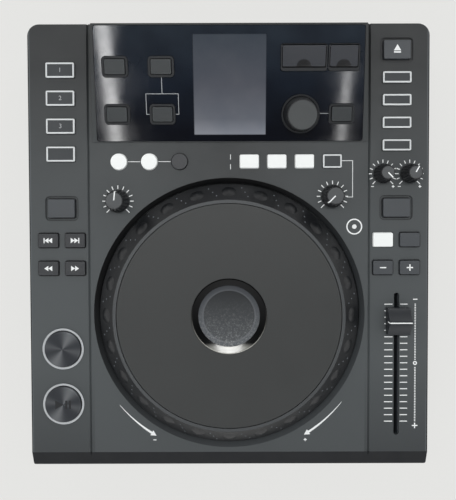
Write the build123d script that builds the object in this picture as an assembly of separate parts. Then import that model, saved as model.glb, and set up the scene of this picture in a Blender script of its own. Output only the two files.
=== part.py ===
"""Tabletop disc player for disc jockeys, built as an assembly of separate pieces, in millimetres.

The row frame has +X to the user's right, +Y away from the user and +Z up, with its origin under the
middle of the case, on the surface that the feet stand on. Two tilted frames sit inside it. The deck frame
lies on the sloping top: u to the right, v up the slope from the front crease, w out of the deck. The
panel frame lies on the raised display block in the same way, and leans a little more than the deck.
"""

import os
from math import atan, cos, degrees, radians, sin, tan

from build123d import *

os.makedirs("parts", exist_ok=True)

# ---- Jog wheel (deck frame) -------------------------------------------------------------------------
well_radius = 105.7  # outer edge of the chamfer round the wheel
front_gap = 2.3  # from the line the rows are measured from to the well
jog_v = well_radius + front_gap
well_chamfer_run = 3.5
well_wall_radius = well_radius - well_chamfer_run
well_chamfer_depth = 3.0
well_depth = 7.0
wheel_gap = 1.3  # round the wheel in its well
wheel_radius = well_wall_radius - wheel_gap
wheel_shoulder = 0.3  # foot of the sloping rim, above the deck
wheel_skirt = 5.5  # how far the rim reaches into the well
rim_run = 12.5  # how far the sloping rim reaches inward
rim_top_radius = wheel_radius - rim_run
wheel_height = 13.3
rim_thickness = 2.4
top_ring_width = 3.1
plate_radius = rim_top_radius - top_ring_width
plate_groove = 0.5
plate_thickness = 2.5
web_thickness = 2.3
hub_radius = 13.0
axle_radius = 8.0
axle_cap_radius = 10.5
axle_cap_thickness = 1.0
lens_radius = 28.6
lens_groove = 0.3
dish_edge_radius = 28.0
dish_floor_radius = 23.5
dish_depth = 1.3
pad_count = 24  # raised finger pads round the rim
pad_radius = 5.3
pad_height = 1.2
bearing_plate_radius = 40.0
bearing_plate_thickness = 2.0
bearing_screw_circle = 32.0

# ---- Pitch fader (deck frame) -----------------------------------------------------------------------
fader_travel = 100.0
fader_offset = 0.7  # from the column's centre line
fader_front = 3.8  # from the line the rows are measured from to the track
fader_slot = (4.2, fader_travel + 12.0)
fader_rest = 34.6  # where the cap stands, above the middle
fader_cap = (17.2, 20.6)
fader_ridge = 13.0  # top of the cap above the deck
fader_shoulder = 7.2
fader_lift = 0.6
fader_blade = (2.4, 8.0)
fader_track_size = (14.0, fader_travel + 28.0, 10.0)
fader_v = fader_front + fader_track_size[1] / 2  # middle of the slot
fader_channel_depth = 8.0
fader_channel_end = 2.0

# ---- Case -------------------------------------------------------------------------------------------
wall = 2.5  # moulded walls of the cover and the lower case
deck_tilt = 3.0  # degrees, the rear is higher
crease_height = 70.0  # height of the crease between the deck and its front bevel
lip_run = 10.9  # front bevel, forward of the crease
lip_drop = 4.4
deck_lead = 1.4  # from the crease to the line that the rows on the deck are measured from
skirt_depth = 16.0  # how far the cover's sides reach below the deck plane
rear_corner_radius = 9.0
front_corner_radius = 1.4
case_inset = 1.2  # the lower case stands back under the cover
rear_recess = 9.0  # the rear wall stands back to protect the connectors
seam_gap = 3.3  # from the well to the V grooves that part the deck from the side columns
seam_x = well_radius + seam_gap
column_width = 46.3
body_width = 2 * (seam_x + column_width)
seam_depth = 1.1
foot_height = 8.0
foot_radius = 12.0
foot_inset = (25.3, 32.0)  # from the body's sides and ends
foot_pin_radius = 3.0
pin_clearance = 0.1

# ---- Fits -------------------------------------------------------------------------------------------
key_gap = 0.5  # round a key in its hole
flange_gap = 0.3  # under the cover, above a key's flange
flange_out = 1.0
flange_thickness = 1.0
running_gap = 0.05  # radial, shafts that turn or slide
part_gap = 0.3  # fixed pieces that must not touch
joined = 0.3  # how far a boss runs into the wall that carries it
shaft_gap = 0.6  # knob shafts through the deck

# ---- Boards behind the keys -------------------------------------------------------------------------
board_thickness = 1.6
deck_board_depth = 13.0  # top face of the boards below the deck
panel_board_depth = 12.5  # the same below the display panel
switch_side = 6.0
switch_height = 4.3
switch_stroke = 1.2  # free space between a key's stem and its switch
stem_radius = 1.7
boss_radius = 2.5
key_travel = 0.8  # what the keys move, as in the record

# ---- Side columns (deck frame) ----------------------------------------------------------------------
column_inset = 21.0
column_x = seam_x + column_inset  # centre line of the right column
fader_x = column_x + fader_offset
pair_offset = 10.4  # two keys side by side, from the column's centre line
key_rise = 1.8
key_corner = 1.0
least_corner = 0.3
small_key = (15.2, 10.7)
pocket_key = (20.7, 14.2)
pocket_margin = 2.1
pocket_depth = 1.0
cue_key = (21.8, 11.4)
source_key = (21.8, 8.4)
frame_key_border = 1.1  # lit border of the framed keys
frame_key_sink = 0.3
lower_pair_v = fader_v + fader_track_size[1] / 2 + 11.8
upper_pair_v = lower_pair_v + 21.7
pocket_row_v = upper_pair_v + 24.9
time_knob_v = pocket_row_v + 26.3
source_pitch = 17.4
source_v = time_knob_v + 22.1 + 3 * source_pitch  # the farthest of the four
eject_v = source_v + 21.1
hot_cue_pitch = 21.5
hot_cue_v = source_v + 5.9
play_v = 37.0
transport_pitch = 43.4
cue_v = play_v + transport_pitch
transport_radius = 14.0
transport_rise = 2.4
light_ring_width = 1.9
light_ring_height = 0.5

# ---- Loop and effect rows (deck frame) --------------------------------------------------------------
row_v = jog_v + well_radius + 12.6
loop_x = 23.7 - seam_x
loop_pitch = 23.55
loop_radius = 6.2
effect_pitch = 21.4
effect_x = seam_x - 28.9 - 3 * effect_pitch
effect_key = (14.4, 10.3)
light_x = well_radius - 8.2
light_v = jog_v + well_radius - 38.2
light_radius = 1.7

# ---- Knobs ------------------------------------------------------------------------------------------
knob_shaft_radius = 3.0
knob_lift = 0.5  # between the deck and a knob
small_knob = (7.4, 4.95, 15.0)  # base radius, top radius, height above the deck
large_knob = (8.8, 6.45, 14.5)
knob_ribs = 18
rib_radius = 0.55
jog_knob_x = 19.4 - well_radius
jog_knob_v = jog_v + well_radius - 17.9
level_knob_x = well_radius - 25.2
level_knob_v = jog_v + well_radius - 14.6
pot_side = 9.0
pot_height = 6.5
pot_socket = 2.5  # how deep a knob's shaft sits in its potentiometer

# ---- Display block (deck frame for the block, panel frame for what is on it) --------------------------
block_x = 0.8  # the block stands a little to the right of the middle
block_half_width = seam_x - 2.6  # at the deck
block_draft = 12.0  # degrees that its side faces lean inward
block_front_v = row_v + 15.0
block_length = 86.8  # from front to rear edge, up its slope
block_step = 0.8
block_tilt = 13.0  # degrees more than the deck
block_rear_slope = 3.0
rear_ledge = 3.3  # of the deck behind the block
panel_near = 0.8  # near edge of the gloss panel, up the slope from the block's front
panel_length = block_length - 2.4
panel_near_half = block_half_width - 4.0
panel_far_half = block_half_width - 6.0
panel_thickness = 2.0
panel_corner = 2.0
roof_thickness = 2.5  # moulded roof under the gloss panel
collar_rise = 0.6
collar_margin = 2.1  # collar round each panel key
panel_key = (15.3, 11.0)
panel_key_rise = 1.6
panel_near_row = 21.1
panel_far_row = 56.0
text_key_x = 16.6 - panel_near_half
back_key_x = panel_near_half - 16.9
select_base_radius = 12.9
select_top_radius = 11.3
select_height = 14.4
select_collar_radius = 14.6
select_hole_radius = 13.5
select_travel = 0.5
encoder_side = 12.0
encoder_height = 6.5
screen_x = 0.2
screen_row = 42.4
screen_size = (54.4, 73.1)
tempo_key_x = screen_x - screen_size[0] / 2 - 24.2
select_x = screen_x + screen_size[0] / 2 + 26.8
screen_sink = 0.4
screen_frame_margin = 2.0
door_row = 63.6
card_door_size = (32.0, 15.4)
usb_door_size = (20.6, 15.4)
usb_door_x = panel_near_half - usb_door_size[0] / 2 - 6.5
card_door_x = usb_door_x - usb_door_size[0] / 2 - card_door_size[0] / 2 - 3.5
door_side_margin = 1.3
door_near_margin = 3.2
door_far_margin = 0.8
finger_gap = 0.9  # free space at a door's near edge
door_thickness = 1.6
door_pin_radius = 0.6
door_pin_length = 0.9
door_well_depth = 4.2
scoop_radius = 5.8
scoop_depth = 0.8

# ---- Boards and bosses behind the keys -----------------------------------------------------------------
far_board_v = lower_pair_v - 9.6  # near edge of the left column's board behind the wheel
right_board_v = lower_pair_v - 8.6
near_board_v = (play_v - 23.0, cue_v + 43.6)  # the board behind the transport keys
row_board_v = (light_v - 7.5, block_front_v - 0.3)
row_board_margin = (15.5, 5.0)  # past the first loop key and past the ring light
panel_board_half = panel_near_half - 5.4
panel_board_t = (4.0, panel_length - 5.4)
left_boss_v = [hot_cue_v + 20.3, pocket_row_v + 21.8, near_board_v[1] - 4.0, (cue_v + play_v) / 2]
left_boss_v.append(near_board_v[0] + 1.5)
right_boss_v = [time_knob_v - 11.5, lower_pair_v + 10.9, time_knob_v + 12.5]
row_boss_x = (loop_x + 2 * loop_pitch + effect_x) / 2 - 0.85
row_boss_margin = 12.2  # past the first loop key
panel_boss_t = panel_near_row + 17.9
panel_boss_x = [text_key_x, tempo_key_x, back_key_x + 8.0, screen_x + screen_size[0] / 2 + 12.6]

# ---- Disc drive (row frame) -------------------------------------------------------------------------
disc_height = 38.0  # middle of the disc's path above the table
slot_size = (130.0, 5.0)
slot_bevel = 2.0
drive_half_width = 70.0
drive_length = 148.0
drive_floor_z = 16.0
drive_roof_z = 46.0
sheet = 1.5  # steel sheet of the drive
roller_offset = 12.0  # behind the drive's front edge
roller_radius = 4.5
roller_half_length = 60.0
journal_radius = 1.5
turntable_offset = 76.0
turntable_radius = 15.0
spindle_radius = 7.4
spindle_rise = 2.0
motor_radius = 13.0
motor_height = 9.0
rotor_shaft_radius = 2.0
sled_start = 24.0  # laser head behind the spindle at rest
sled_travel = 33.0
sled_size = (44.0, 20.0, 6.0)
rail_radius = 1.5
rail_x = 17.0
rail_rise = 8.0
rail_block = 8.0
laser_radius = 3.0
drive_post_radius = 4.0

# ---- Boards and connectors at the rear (row frame) ---------------------------------------------------
board_z = 18.0
board_rear_gap = 6.0  # from the rear wall's outer face
main_board_left = -42.0
main_board_length = 127.0
supply_board_right = -52.0
supply_board_length = 91.0
# Parts on the rear boards: x in the row frame, distance from the board's near edge, and their sizes.
main_chips = ((20.0, 50.0, 24.0, 24.0), (60.0, 54.0, 14.0, 20.0), (96.0, 50.0, 18.0, 12.0))
main_capacitors = ((-20.0, 90.0), (-8.0, 90.0), (4.0, 90.0), (100.0, 80.0), (112.0, 80.0))
chip_height = 1.6
capacitor_size = (4.0, 11.0)
transformer = (-80.0, 30.0, 30.0, 26.0, 24.0)
heat_sink = (-118.0, 30.0, 4.0, 40.0, 22.0)
supply_capacitors = ((-104.0, 18.0), (-104.0, 38.0), (-64.0, 58.0))
supply_capacitor_size = (6.5, 20.0)
board_inset = 6.0  # posts stand this far in from a board's corners
connector_z = 34.0
jack_barrel_radius = 4.15
jack_root_radius = 5.2  # of the barrel inside the rear wall
jack_bore_radius = 1.6
jack_barrel_length = 8.0
jack_block = (12.0, 13.0, 14.0)
usb_b_inset = 47.3  # from the body's side
usb_b_x = body_width / 2 - usb_b_inset
jack_x = (usb_b_x - 80.0, usb_b_x - 60.0, usb_b_x - 32.0)  # two line outputs and one digital output
usb_b_size = (12.0, 16.0, 11.0)
usb_b_cavity = (8.5, 7.8, 9.0)
inlet_size = (22.0, 12.0)
inlet_cavity = (15.6, 7.6)
inlet_depth = 12.0
inlet_pin_radius = 1.2
inlet_pin_pitch = 8.6
rocker_x = 25.3 - body_width / 2
inlet_x = rocker_x + 30.0
rocker_size = (13.0, 19.0)
rocker_throw = 14.0  # degrees between off and on
rocker_depth = 12.0  # of the switch's housing
rocker_wall = 1.5
rocker_pin_radius = 1.2
rocker_pin_depth = 4.2  # pin's axis behind the rear wall's outer face
rocker_proud = (2.2, 1.0)  # ends and middle of the rocker, in front of the rear wall

# ---- Fasteners --------------------------------------------------------------------------------------
case_post_x = body_width / 2 - 8.3
case_post_radius = 3.5
case_post_inset = (20.0, 129.0, 22.0)  # near and middle ones from the front, far ones from the rear
screw_radius = 1.4
screw_head_radius = 2.9
screw_length = 10.0
small_screw_radius = 1.2
board_screw_radius = 1.0
board_screw_length = 6.0
small_head_radius = 2.4
small_head_height = 1.4

# ---- Frames and levels worked out from the sizes ------------------------------------------------------
run = cos(radians(deck_tilt))
block_end_v = block_front_v + block_length * cos(radians(block_tilt)) + block_rear_slope
column_end_v = eject_v + pocket_key[1] / 2 + pocket_margin
deck_run = max(block_end_v * run + rear_ledge, column_end_v * run + rear_recess + 2.0)
body_depth = round(lip_run + deck_lead + deck_run, 1)
front_y = -body_depth / 2
rear_y = body_depth / 2
foot_x = body_width / 2 - foot_inset[0]
foot_y = body_depth / 2 - foot_inset[1]
case_post_y = [front_y + case_post_inset[0], front_y + case_post_inset[1], rear_y - case_post_inset[2]]
crease_y = front_y + lip_run
deck_origin = Vector(0, crease_y + deck_lead, crease_height + deck_lead * tan(radians(deck_tilt)))
deck = Plane(
    origin=deck_origin,
    x_dir=(1, 0, 0),
    z_dir=(0, -sin(radians(deck_tilt)), cos(radians(deck_tilt))),
)
panel = Plane(
    origin=deck.from_local_coords(Vector(block_x, block_front_v, block_step)),
    x_dir=(1, 0, 0),
    z_dir=(0, -sin(radians(deck_tilt + block_tilt)), cos(radians(deck_tilt + block_tilt))),
)
case_rear_y = rear_y - rear_recess  # outer face of the rear wall
case_floor_top = foot_height + wall
board_far = case_rear_y - board_rear_gap
main_board_x = (main_board_left, case_post_x - 7.0)
main_board_y = (board_far - main_board_length, board_far)
supply_board_x = (6.0 - case_post_x, supply_board_right)
supply_board_y = (board_far - supply_board_length, board_far)
deck_board_under = deck_board_depth + board_thickness
column_board_far = (case_rear_y - wall - part_gap - deck_origin.Y) / cos(radians(deck_tilt))
column_board_far -= deck_board_under * tan(radians(deck_tilt))
roof_top = -panel_thickness
roof_bottom = roof_top - roof_thickness
deck_switch_top = -deck_board_depth + switch_height
panel_switch_top = -panel_board_depth + switch_height
drive_front_y = front_y + case_inset + wall + part_gap
spindle_y = drive_front_y + turntable_offset
hinge_inset = door_thickness / 2
door_top = collar_rise - 0.1
door_axis_n = door_top - door_thickness / 2


def deck_height(y):
    """Height of the deck plane above the table, at a distance y along the row frame."""
    return crease_height + (y - crease_y) * tan(radians(deck_tilt))


def block(width, length, low, high, corner=0.0):
    """An upright block with rounded corners, centred in plan, from height low to height high."""
    outline = RectangleRounded(width, length, corner) if corner > 0 else Rectangle(width, length)
    return Pos(0, 0, low) * extrude(outline, high - low)


def rod(radius, low, high):
    """An upright cylinder on the local origin, from height low to height high."""
    return Pos(0, 0, (low + high) / 2) * Cylinder(radius, high - low)


def box_between(low, high):
    """A box from its lowest to its highest corner."""
    size = [high[i] - low[i] for i in range(3)]
    middle = [(high[i] + low[i]) / 2 for i in range(3)]
    return Pos(*middle) * Box(*size)


def cone(base_radius, top_radius, low, high):
    """An upright cone frustum on the local origin."""
    return Pos(0, 0, (low + high) / 2) * Cone(base_radius, top_radius, high - low)


def prism_across(points, half_width):
    """A prism along X between minus and plus half_width, from its outline in the YZ plane."""
    outline = make_face(Polyline(*[(0, y, z) for y, z in points], close=True))
    return Pos(-half_width, 0, 0) * extrude(outline, 2 * half_width, dir=(1, 0, 0))


def plan_outline(inset, rear_inset, low, high):
    """The case's plan as an upright block, with its rounded corners."""
    width = body_width - 2 * inset
    depth = body_depth - inset - rear_inset
    middle_y = (rear_y - rear_inset + front_y + inset) / 2
    corners = Pos(0, middle_y, low) * extrude(Rectangle(width, depth), high - low)
    uprights = corners.edges().filter_by(Axis.Z).group_by(Axis.Y)
    corners = fillet(uprights[-1], max(rear_corner_radius - inset, wall))
    uprights = corners.edges().filter_by(Axis.Z).group_by(Axis.Y)
    return fillet(uprights[0], max(front_corner_radius, wall / 2))


# ---- What the keys are -------------------------------------------------------------------------------
# Each key: name, frame, centre in that frame, outline size (one number is a radius), and its kind.
left = -column_x
right = column_x
keys = [
    *[
        (name, "deck", left, hot_cue_v - i * hot_cue_pitch, cue_key, "framed")
        for i, name in enumerate(
            ["hot_cue_1_button", "hot_cue_2_button", "hot_cue_3_button", "memory_button"]
        )
    ],
    ("reverse_button", "deck", left, pocket_row_v, pocket_key, "pocket"),
    ("track_back_button", "deck", left - pair_offset, upper_pair_v, small_key, "plain"),
    ("track_forward_button", "deck", left + pair_offset, upper_pair_v, small_key, "plain"),
    ("search_back_button", "deck", left - pair_offset, lower_pair_v, small_key, "plain"),
    ("search_forward_button", "deck", left + pair_offset, lower_pair_v, small_key, "plain"),
    ("cue_button", "deck", left, cue_v, transport_radius, "round"),
    ("play_pause_button", "deck", left, play_v, transport_radius, "round"),
    *[
        (name, "deck", loop_x + i * loop_pitch, row_v, loop_radius, "plain")
        for i, name in enumerate(["loop_in_button", "loop_out_button", "reloop_button"])
    ],
    *[
        (name, "deck", effect_x + i * effect_pitch, row_v, effect_key, kind)
        for i, (name, kind) in enumerate(
            [
                ("filter_button", "plain"),
                ("flanger_button", "plain"),
                ("echo_button", "plain"),
                ("hold_button", "framed"),
            ]
        )
    ],
    ("eject_button", "deck", right, eject_v, pocket_key, "pocket"),
    *[
        (name, "deck", right, source_v - i * source_pitch, source_key, "framed")
        for i, name in enumerate(
            ["source_disc_button", "source_usb_button", "source_card_button", "source_midi_button"]
        )
    ],
    ("jog_mode_button", "deck", right, pocket_row_v, pocket_key, "pocket"),
    ("master_tempo_button", "deck", right - pair_offset, upper_pair_v, small_key, "plain"),
    ("range_button", "deck", right + pair_offset, upper_pair_v, small_key, "plain"),
    ("pitch_bend_down_button", "deck", right - pair_offset, lower_pair_v, small_key, "plain"),
    ("pitch_bend_up_button", "deck", right + pair_offset, lower_pair_v, small_key, "plain"),
    ("text_mode_button", "panel", text_key_x, panel_far_row, panel_key, "panel"),
    ("tempo_button", "panel", tempo_key_x, panel_far_row, panel_key, "panel"),
    ("auto_cue_button", "panel", text_key_x, panel_near_row, panel_key, "panel"),
    ("lock_button", "panel", tempo_key_x, panel_near_row, panel_key, "panel"),
    ("back_button", "panel", back_key_x, panel_near_row, panel_key, "panel"),
]
frames = {"deck": deck, "panel": panel}

# Each knob on a potentiometer: name, centre in the deck frame, its shape, and the degrees clockwise from
# straight up the slope at which its pointer stands.
knobs = [
    ("jog_tension_knob", jog_knob_x, jog_knob_v, large_knob, 5),
    ("effect_level_knob", level_knob_x, level_knob_v, large_knob, -135),
    ("start_time_knob", right - pair_offset, time_knob_v, small_knob, 135),
    ("stop_time_knob", right + pair_offset, time_knob_v, small_knob, 30),
]

doors = [
    ("card_door", card_door_x, card_door_size),
    ("usb_door", usb_door_x, usb_door_size),
]


def key_outline(size, grow=0.0):
    """The flat outline of a key, or of its hole when grow is positive."""
    if isinstance(size, tuple):
        corner = max(key_corner + grow, least_corner)
        return RectangleRounded(size[0] + 2 * grow, size[1] + 2 * grow, corner)
    return Circle(size + grow)


def prism(outline, low, high):
    """An outline drawn out along the local normal from level low to level high."""
    return Pos(0, 0, low) * extrude(outline, high - low)


def key_shape(size, kind):
    """A key with its cap, its captive flange under the cover, and the stem over its switch."""
    rise = {"panel": panel_key_rise, "round": transport_rise}.get(kind, key_rise)
    under = roof_bottom if kind == "panel" else -wall
    switch_top = panel_switch_top if kind == "panel" else deck_switch_top
    flange_top = under - flange_gap
    cap = prism(key_outline(size), flange_top - flange_thickness, rise)
    cap = fillet(cap.faces().sort_by(Axis.Z)[-1].edges(), 0.6 if kind == "round" else 0.4)
    if kind == "framed":
        window = prism(key_outline(size, -frame_key_border), rise - frame_key_sink, rise + 1)
        cap -= window
    flange = prism(key_outline(size, flange_out), flange_top - flange_thickness, flange_top)
    stem = rod(stem_radius, switch_top + switch_stroke, flange_top)
    return cap + flange + stem


def top_cover():
    """The moulded top: deck, side skirts, front bevel and display block, open below."""

    def shell(inset, drop):
        """The cover's outer form, or its hollow when inset and drop are the wall."""
        low = [(y, deck_height(y) - skirt_depth - drop) for y in (front_y + inset, rear_y - inset)]
        lip_z = crease_height - lip_drop - drop
        profile = [
            low[0],
            (front_y + inset, lip_z + inset * lip_drop / lip_run),
            (crease_y, crease_height - drop),
            (rear_y - inset, deck_height(rear_y - inset) - drop / cos(radians(deck_tilt))),
            low[1],
        ]
        plan = plan_outline(inset, inset, 0, 2 * crease_height)
        return prism_across(profile, body_width / 2 - inset) & plan

    def wedge(inset):
        """The display block's outer form in the deck frame, or its hollow."""
        slope = tan(radians(block_tilt))
        drop = -roof_bottom / cos(radians(block_tilt)) if inset else 0
        near = block_front_v + inset
        far = block_front_v + block_length * cos(radians(block_tilt)) - inset
        near_top = block_step + (near - block_front_v) * slope - drop
        far_top = block_step + (far - block_front_v) * slope - drop
        base = -wall - 1 if inset else -wall / 2
        foot = far if inset else far + block_rear_slope
        points = [(near, base), (near, near_top), (far, far_top), (foot, base)]
        half = block_half_width - inset
        lean = far_top * tan(radians(block_draft))
        sides = Polyline(
            (-half, 0, base),
            (-half, 0, 0),
            (-half + lean, 0, far_top),
            (half - lean, 0, far_top),
            (half, 0, 0),
            (half, 0, base),
            close=True,
        )
        drafted = extrude(make_face(sides), body_depth, dir=(0, 1, 0))
        return deck * Pos(block_x, 0, 0) * (prism_across(points, half) & drafted)

    form = shell(0, 0) + wedge(0)
    form = fillet(form.faces().sort_by(Axis.Z)[-1].edges().filter_by(Axis.X).sort_by(Axis.Y)[-1], 0.8)
    cover = form - shell(wall, wall)
    cover -= wedge(wall)

    # The well that the jog wheel runs in hangs below the deck.
    jog = deck * Pos(0, jog_v, 0)
    cover += jog * rod(well_wall_radius + wall, -well_depth - wall, -wall / 2)
    cover -= jog * rod(well_wall_radius, -well_depth, 1)
    cover -= jog * cone(well_wall_radius, well_radius, -well_chamfer_depth, 0)
    cover -= jog * rod(axle_radius + part_gap, -well_depth - 2 * wall, 0)

    # Light rings round the two transport keys, then the collars on the display block.
    for v in (cue_v, play_v):
        at = deck * Pos(left, v, 0)
        cover += at * rod(transport_radius + key_gap + light_ring_width, -wall / 2, light_ring_height)
    cover -= panel * prism(panel_outline(part_gap), roof_top, panel_thickness)
    cover += panel_collars(0)

    # Bosses under the deck carry the boards, and posts reach down to the case's floor.
    pilot = board_screw_length - board_thickness
    for at, depth in board_bosses():
        cover += at * rod(boss_radius, -depth, joined - wall)
        cover -= at * rod(board_screw_radius, -depth, -depth + pilot)
    for x, y in bearing_screw_places():
        cover -= deck * Pos(x, y, 0) * rod(small_screw_radius, -2 * well_depth, -well_depth - wall / 2)
    for x, y in case_posts():
        top = deck_height(y) - wall / 2
        cover += Pos(x, y, 0) * rod(case_post_radius, case_floor_top, top)
        cover -= Pos(x, y, 0) * rod(screw_radius, 0, case_floor_top + screw_length)

    cutters = []
    for name, frame, x, v, size, kind in keys:
        at = frames[frame] * Pos(x, v, 0)
        cutters.append(at * prism(key_outline(size, key_gap), -3 * wall, 2 * wall))
        if kind == "pocket":
            cutters.append(at * prism(key_outline(size, pocket_margin), -pocket_depth, wall))
    for name, x, v, shape, pointer in knobs:
        cutters.append(deck * Pos(x, v, 0) * rod(knob_shaft_radius + shaft_gap, -2 * wall, wall))
    cutters.append(deck * Pos(light_x, light_v, 0) * rod(light_radius + part_gap, -2 * wall, wall))
    slot = SlotOverall(fader_slot[1], fader_slot[0], rotation=90)
    cutters.append(deck * Pos(fader_x, fader_v, 0) * prism(slot, -2 * wall, wall))
    screen = block(
        screen_size[0] + 2 * part_gap, screen_size[1] + 2 * part_gap, 2 * roof_bottom, 1
    )
    cutters.append(panel * Pos(screen_x, screen_row, 0) * screen)
    cutters.append(
        panel * Pos(select_x, panel_near_row, 0) * rod(select_hole_radius, roof_bottom / 2, wall)
    )
    cutters.append(
        panel * Pos(select_x, panel_near_row, 0) * rod(knob_shaft_radius + shaft_gap, -9, wall)
    )
    cutters += door_wells()
    for side in (-1, 1):
        edge = Polyline(
            (side * seam_x - seam_depth, 0, seam_depth / 8),
            (side * seam_x, 0, -seam_depth),
            (side * seam_x + seam_depth, 0, seam_depth / 8),
            close=True,
        )
        groove = extrude(make_face(edge), body_depth, dir=(0, 1, 0))
        cutters.append(deck * Pos(0, -deck_lead - lip_run / 2, 0) * groove)
    return cover - cutters


def panel_outline(grow):
    """The gloss panel's outline, a little narrower at the far edge, or its pocket when grow is positive."""
    near, far = panel_near - grow, panel_near + panel_length + grow
    near_half, far_half = panel_near_half + grow, panel_far_half + grow
    corners = [(-near_half, near), (near_half, near), (far_half, far), (-far_half, far)]
    outline = make_face(Polyline(*corners, close=True))
    return fillet(outline.vertices(), panel_corner)


def panel_collars(grow):
    """Collars that stand through the gloss panel, or its cut-outs round them when grow is positive."""
    made = []
    for name, frame, x, t, size, kind in keys:
        if kind == "panel":
            collar = prism(key_outline(size, collar_margin + grow), roof_bottom / 2, collar_rise)
            made.append(panel * Pos(x, t, 0) * collar)
    for name, x, size in doors:
        width = size[0] + 2 * (door_side_margin + grow)
        length = size[1] + door_near_margin + door_far_margin + 2 * grow
        # The roof is thicker under a door, to hold the well that the socket opens into.
        collar = block(width, length, -door_well_depth - wall, collar_rise, key_corner + 1)
        made.append(panel * Pos(x, door_row + (door_far_margin - door_near_margin) / 2, 0) * collar)
    ring = rod(select_collar_radius + grow, roof_bottom / 2, collar_rise)
    made.append(panel * Pos(select_x, panel_near_row, 0) * ring)
    return made


def door_wells():
    """The wells under the two doors, the sockets' mouths in their floors and the hinge pins' holes."""
    cutters = []
    for name, x, size in doors:
        at = panel * Pos(x, door_row, 0)
        well = block(
            size[0] + 2 * key_gap, size[1] + key_gap + finger_gap, -door_well_depth, wall, key_corner
        )
        cutters.append(at * Pos(0, (key_gap - finger_gap) / 2, 0) * well)
        mouth = socket_sizes()[name]
        cutters.append(
            at
            * block(mouth[0] + 2 * part_gap, mouth[1] + 2 * part_gap, -door_well_depth - 2 * wall, 0)
        )
        pins = Cylinder(
            door_pin_radius + running_gap, size[0] + 2 * (door_pin_length + key_gap + part_gap)
        )
        hinge = Pos(0, size[1] / 2 - hinge_inset, door_axis_n) * Rot(0, 90, 0) * pins
        cutters.append(at * hinge)
    return cutters


def socket_sizes():
    """Outer width and thickness of the socket that each door covers."""
    return {"card_door": (27.0, 5.0), "usb_door": (13.1, 5.8)}


def deck_bosses():
    """Where bosses hang from the deck to carry the key boards."""
    column = [(left, v) for v in left_boss_v] + [(right, v) for v in right_boss_v]
    return column + [(loop_x - row_boss_margin, row_v), (row_boss_x, row_v), (light_x, row_v)]


def panel_bosses():
    """Where bosses hang from the display block's roof to carry the panel board."""
    return [(x, panel_boss_t) for x in panel_boss_x]


def board_bosses():
    """Frames on the axes of all the bosses under the cover, with the depth of the board each one meets."""
    places = [(deck * Pos(x, v, 0), deck_board_depth) for x, v in deck_bosses()]
    return places + [(panel * Pos(x, t, 0), panel_board_depth) for x, t in panel_bosses()]


def case_posts():
    """Where the cover's posts meet the case screws."""
    return [(side * case_post_x, y) for side in (-1, 1) for y in case_post_y]


def lower_case():
    """The lower shell: floor, side walls, front wall with the disc slot, and the recessed rear wall."""

    def body(inset, drop_floor):
        """The lower case as a solid form, or its hollow when inset is its wall."""
        low = foot_height + drop_floor
        near, far = front_y + case_inset + inset, case_rear_y - inset
        seam = [(y, deck_height(y) - skirt_depth) for y in (near, far)]
        if drop_floor:
            seam = [(y, z + skirt_depth) for y, z in seam]
        points = [(near, low), seam[0], seam[1], (far, low)]
        plan = plan_outline(case_inset + inset, rear_recess + inset, 0, 2 * crease_height)
        return prism_across(points, body_width / 2) & plan

    shell = body(0, 0) - body(wall, wall)

    # The rear wall rises inside the cover, up to the underside of the deck.
    top = deck_height(case_rear_y - wall) - wall / cos(radians(deck_tilt)) - part_gap
    half = body_width / 2 - case_inset - rear_corner_radius
    rear = box_between((-half, case_rear_y - wall, foot_height), (half, case_rear_y, top))
    shell += rear

    # Disc slot through the front wall, with a bevelled mouth.
    outer_y = front_y + case_inset
    at = Pos(0, outer_y, disc_height)
    slot = Rot(90, 0, 0) * extrude(SlotOverall(slot_size[0], slot_size[1]), 2 * wall, both=True)
    shell -= at * slot
    mouth = loft(
        [
            Plane.XZ * SlotOverall(slot_size[0] + 2 * slot_bevel, slot_size[1] + 2 * slot_bevel),
            Plane.XZ.offset(-slot_bevel) * SlotOverall(slot_size[0], slot_size[1]),
        ]
    )
    shell -= at * mouth

    for x, y in drive_posts():
        shell += Pos(x, y, 0) * rod(drive_post_radius, case_floor_top - wall / 2, drive_floor_z)
    for x, y in board_posts():
        shell += Pos(x, y, 0) * rod(boss_radius, case_floor_top - wall / 2, board_z)
        shell -= Pos(x, y, 0) * rod(small_screw_radius, case_floor_top, board_z)

    cutters = []
    for x, y in case_posts():
        # The cover's corner posts stand on the floor, and the floor is countersunk for their screws.
        cutters.append(Pos(x, y, 0) * rod(screw_radius + pin_clearance, 0, case_floor_top))
        cutters.append(
            Pos(x, y, 0) * cone(screw_head_radius, screw_radius, foot_height, foot_height + wall * 0.6)
        )
    for x, y in feet_places():
        hole = rod(foot_pin_radius + pin_clearance, foot_height - 1, case_floor_top + 1)
        cutters.append(Pos(x, y, 0) * hole)
    for x in jack_x:
        cutters.append(rear_hole(x, rod(jack_root_radius + part_gap, -wall, wall)))
    cutters.append(rear_hole(usb_b_x, block(usb_b_size[0] + part_gap, usb_b_size[2] + part_gap, -5, 5)))
    cutters.append(
        rear_hole(inlet_x, block(inlet_size[0] + part_gap, inlet_size[1] + part_gap, -5, 5, 2.0))
    )
    cutters.append(
        rear_hole(rocker_x, block(rocker_size[0] + 2 * part_gap, rocker_size[1] + 2 * part_gap, -5, 5))
    )
    return shell - cutters


def rear_hole(x, solid):
    """A solid built along its local Z, turned to stand out of the rear wall at connector height."""
    return Pos(x, case_rear_y - wall / 2, connector_z) * Rot(-90, 0, 0) * solid


def drive_posts():
    """Posts under the disc drive's corners."""
    ends = (drive_front_y + 2 * drive_post_radius, drive_front_y + drive_length - 2 * drive_post_radius)
    reach = drive_half_width - 2 * drive_post_radius
    return [(side * reach, y) for side in (-1, 1) for y in ends]


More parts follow.
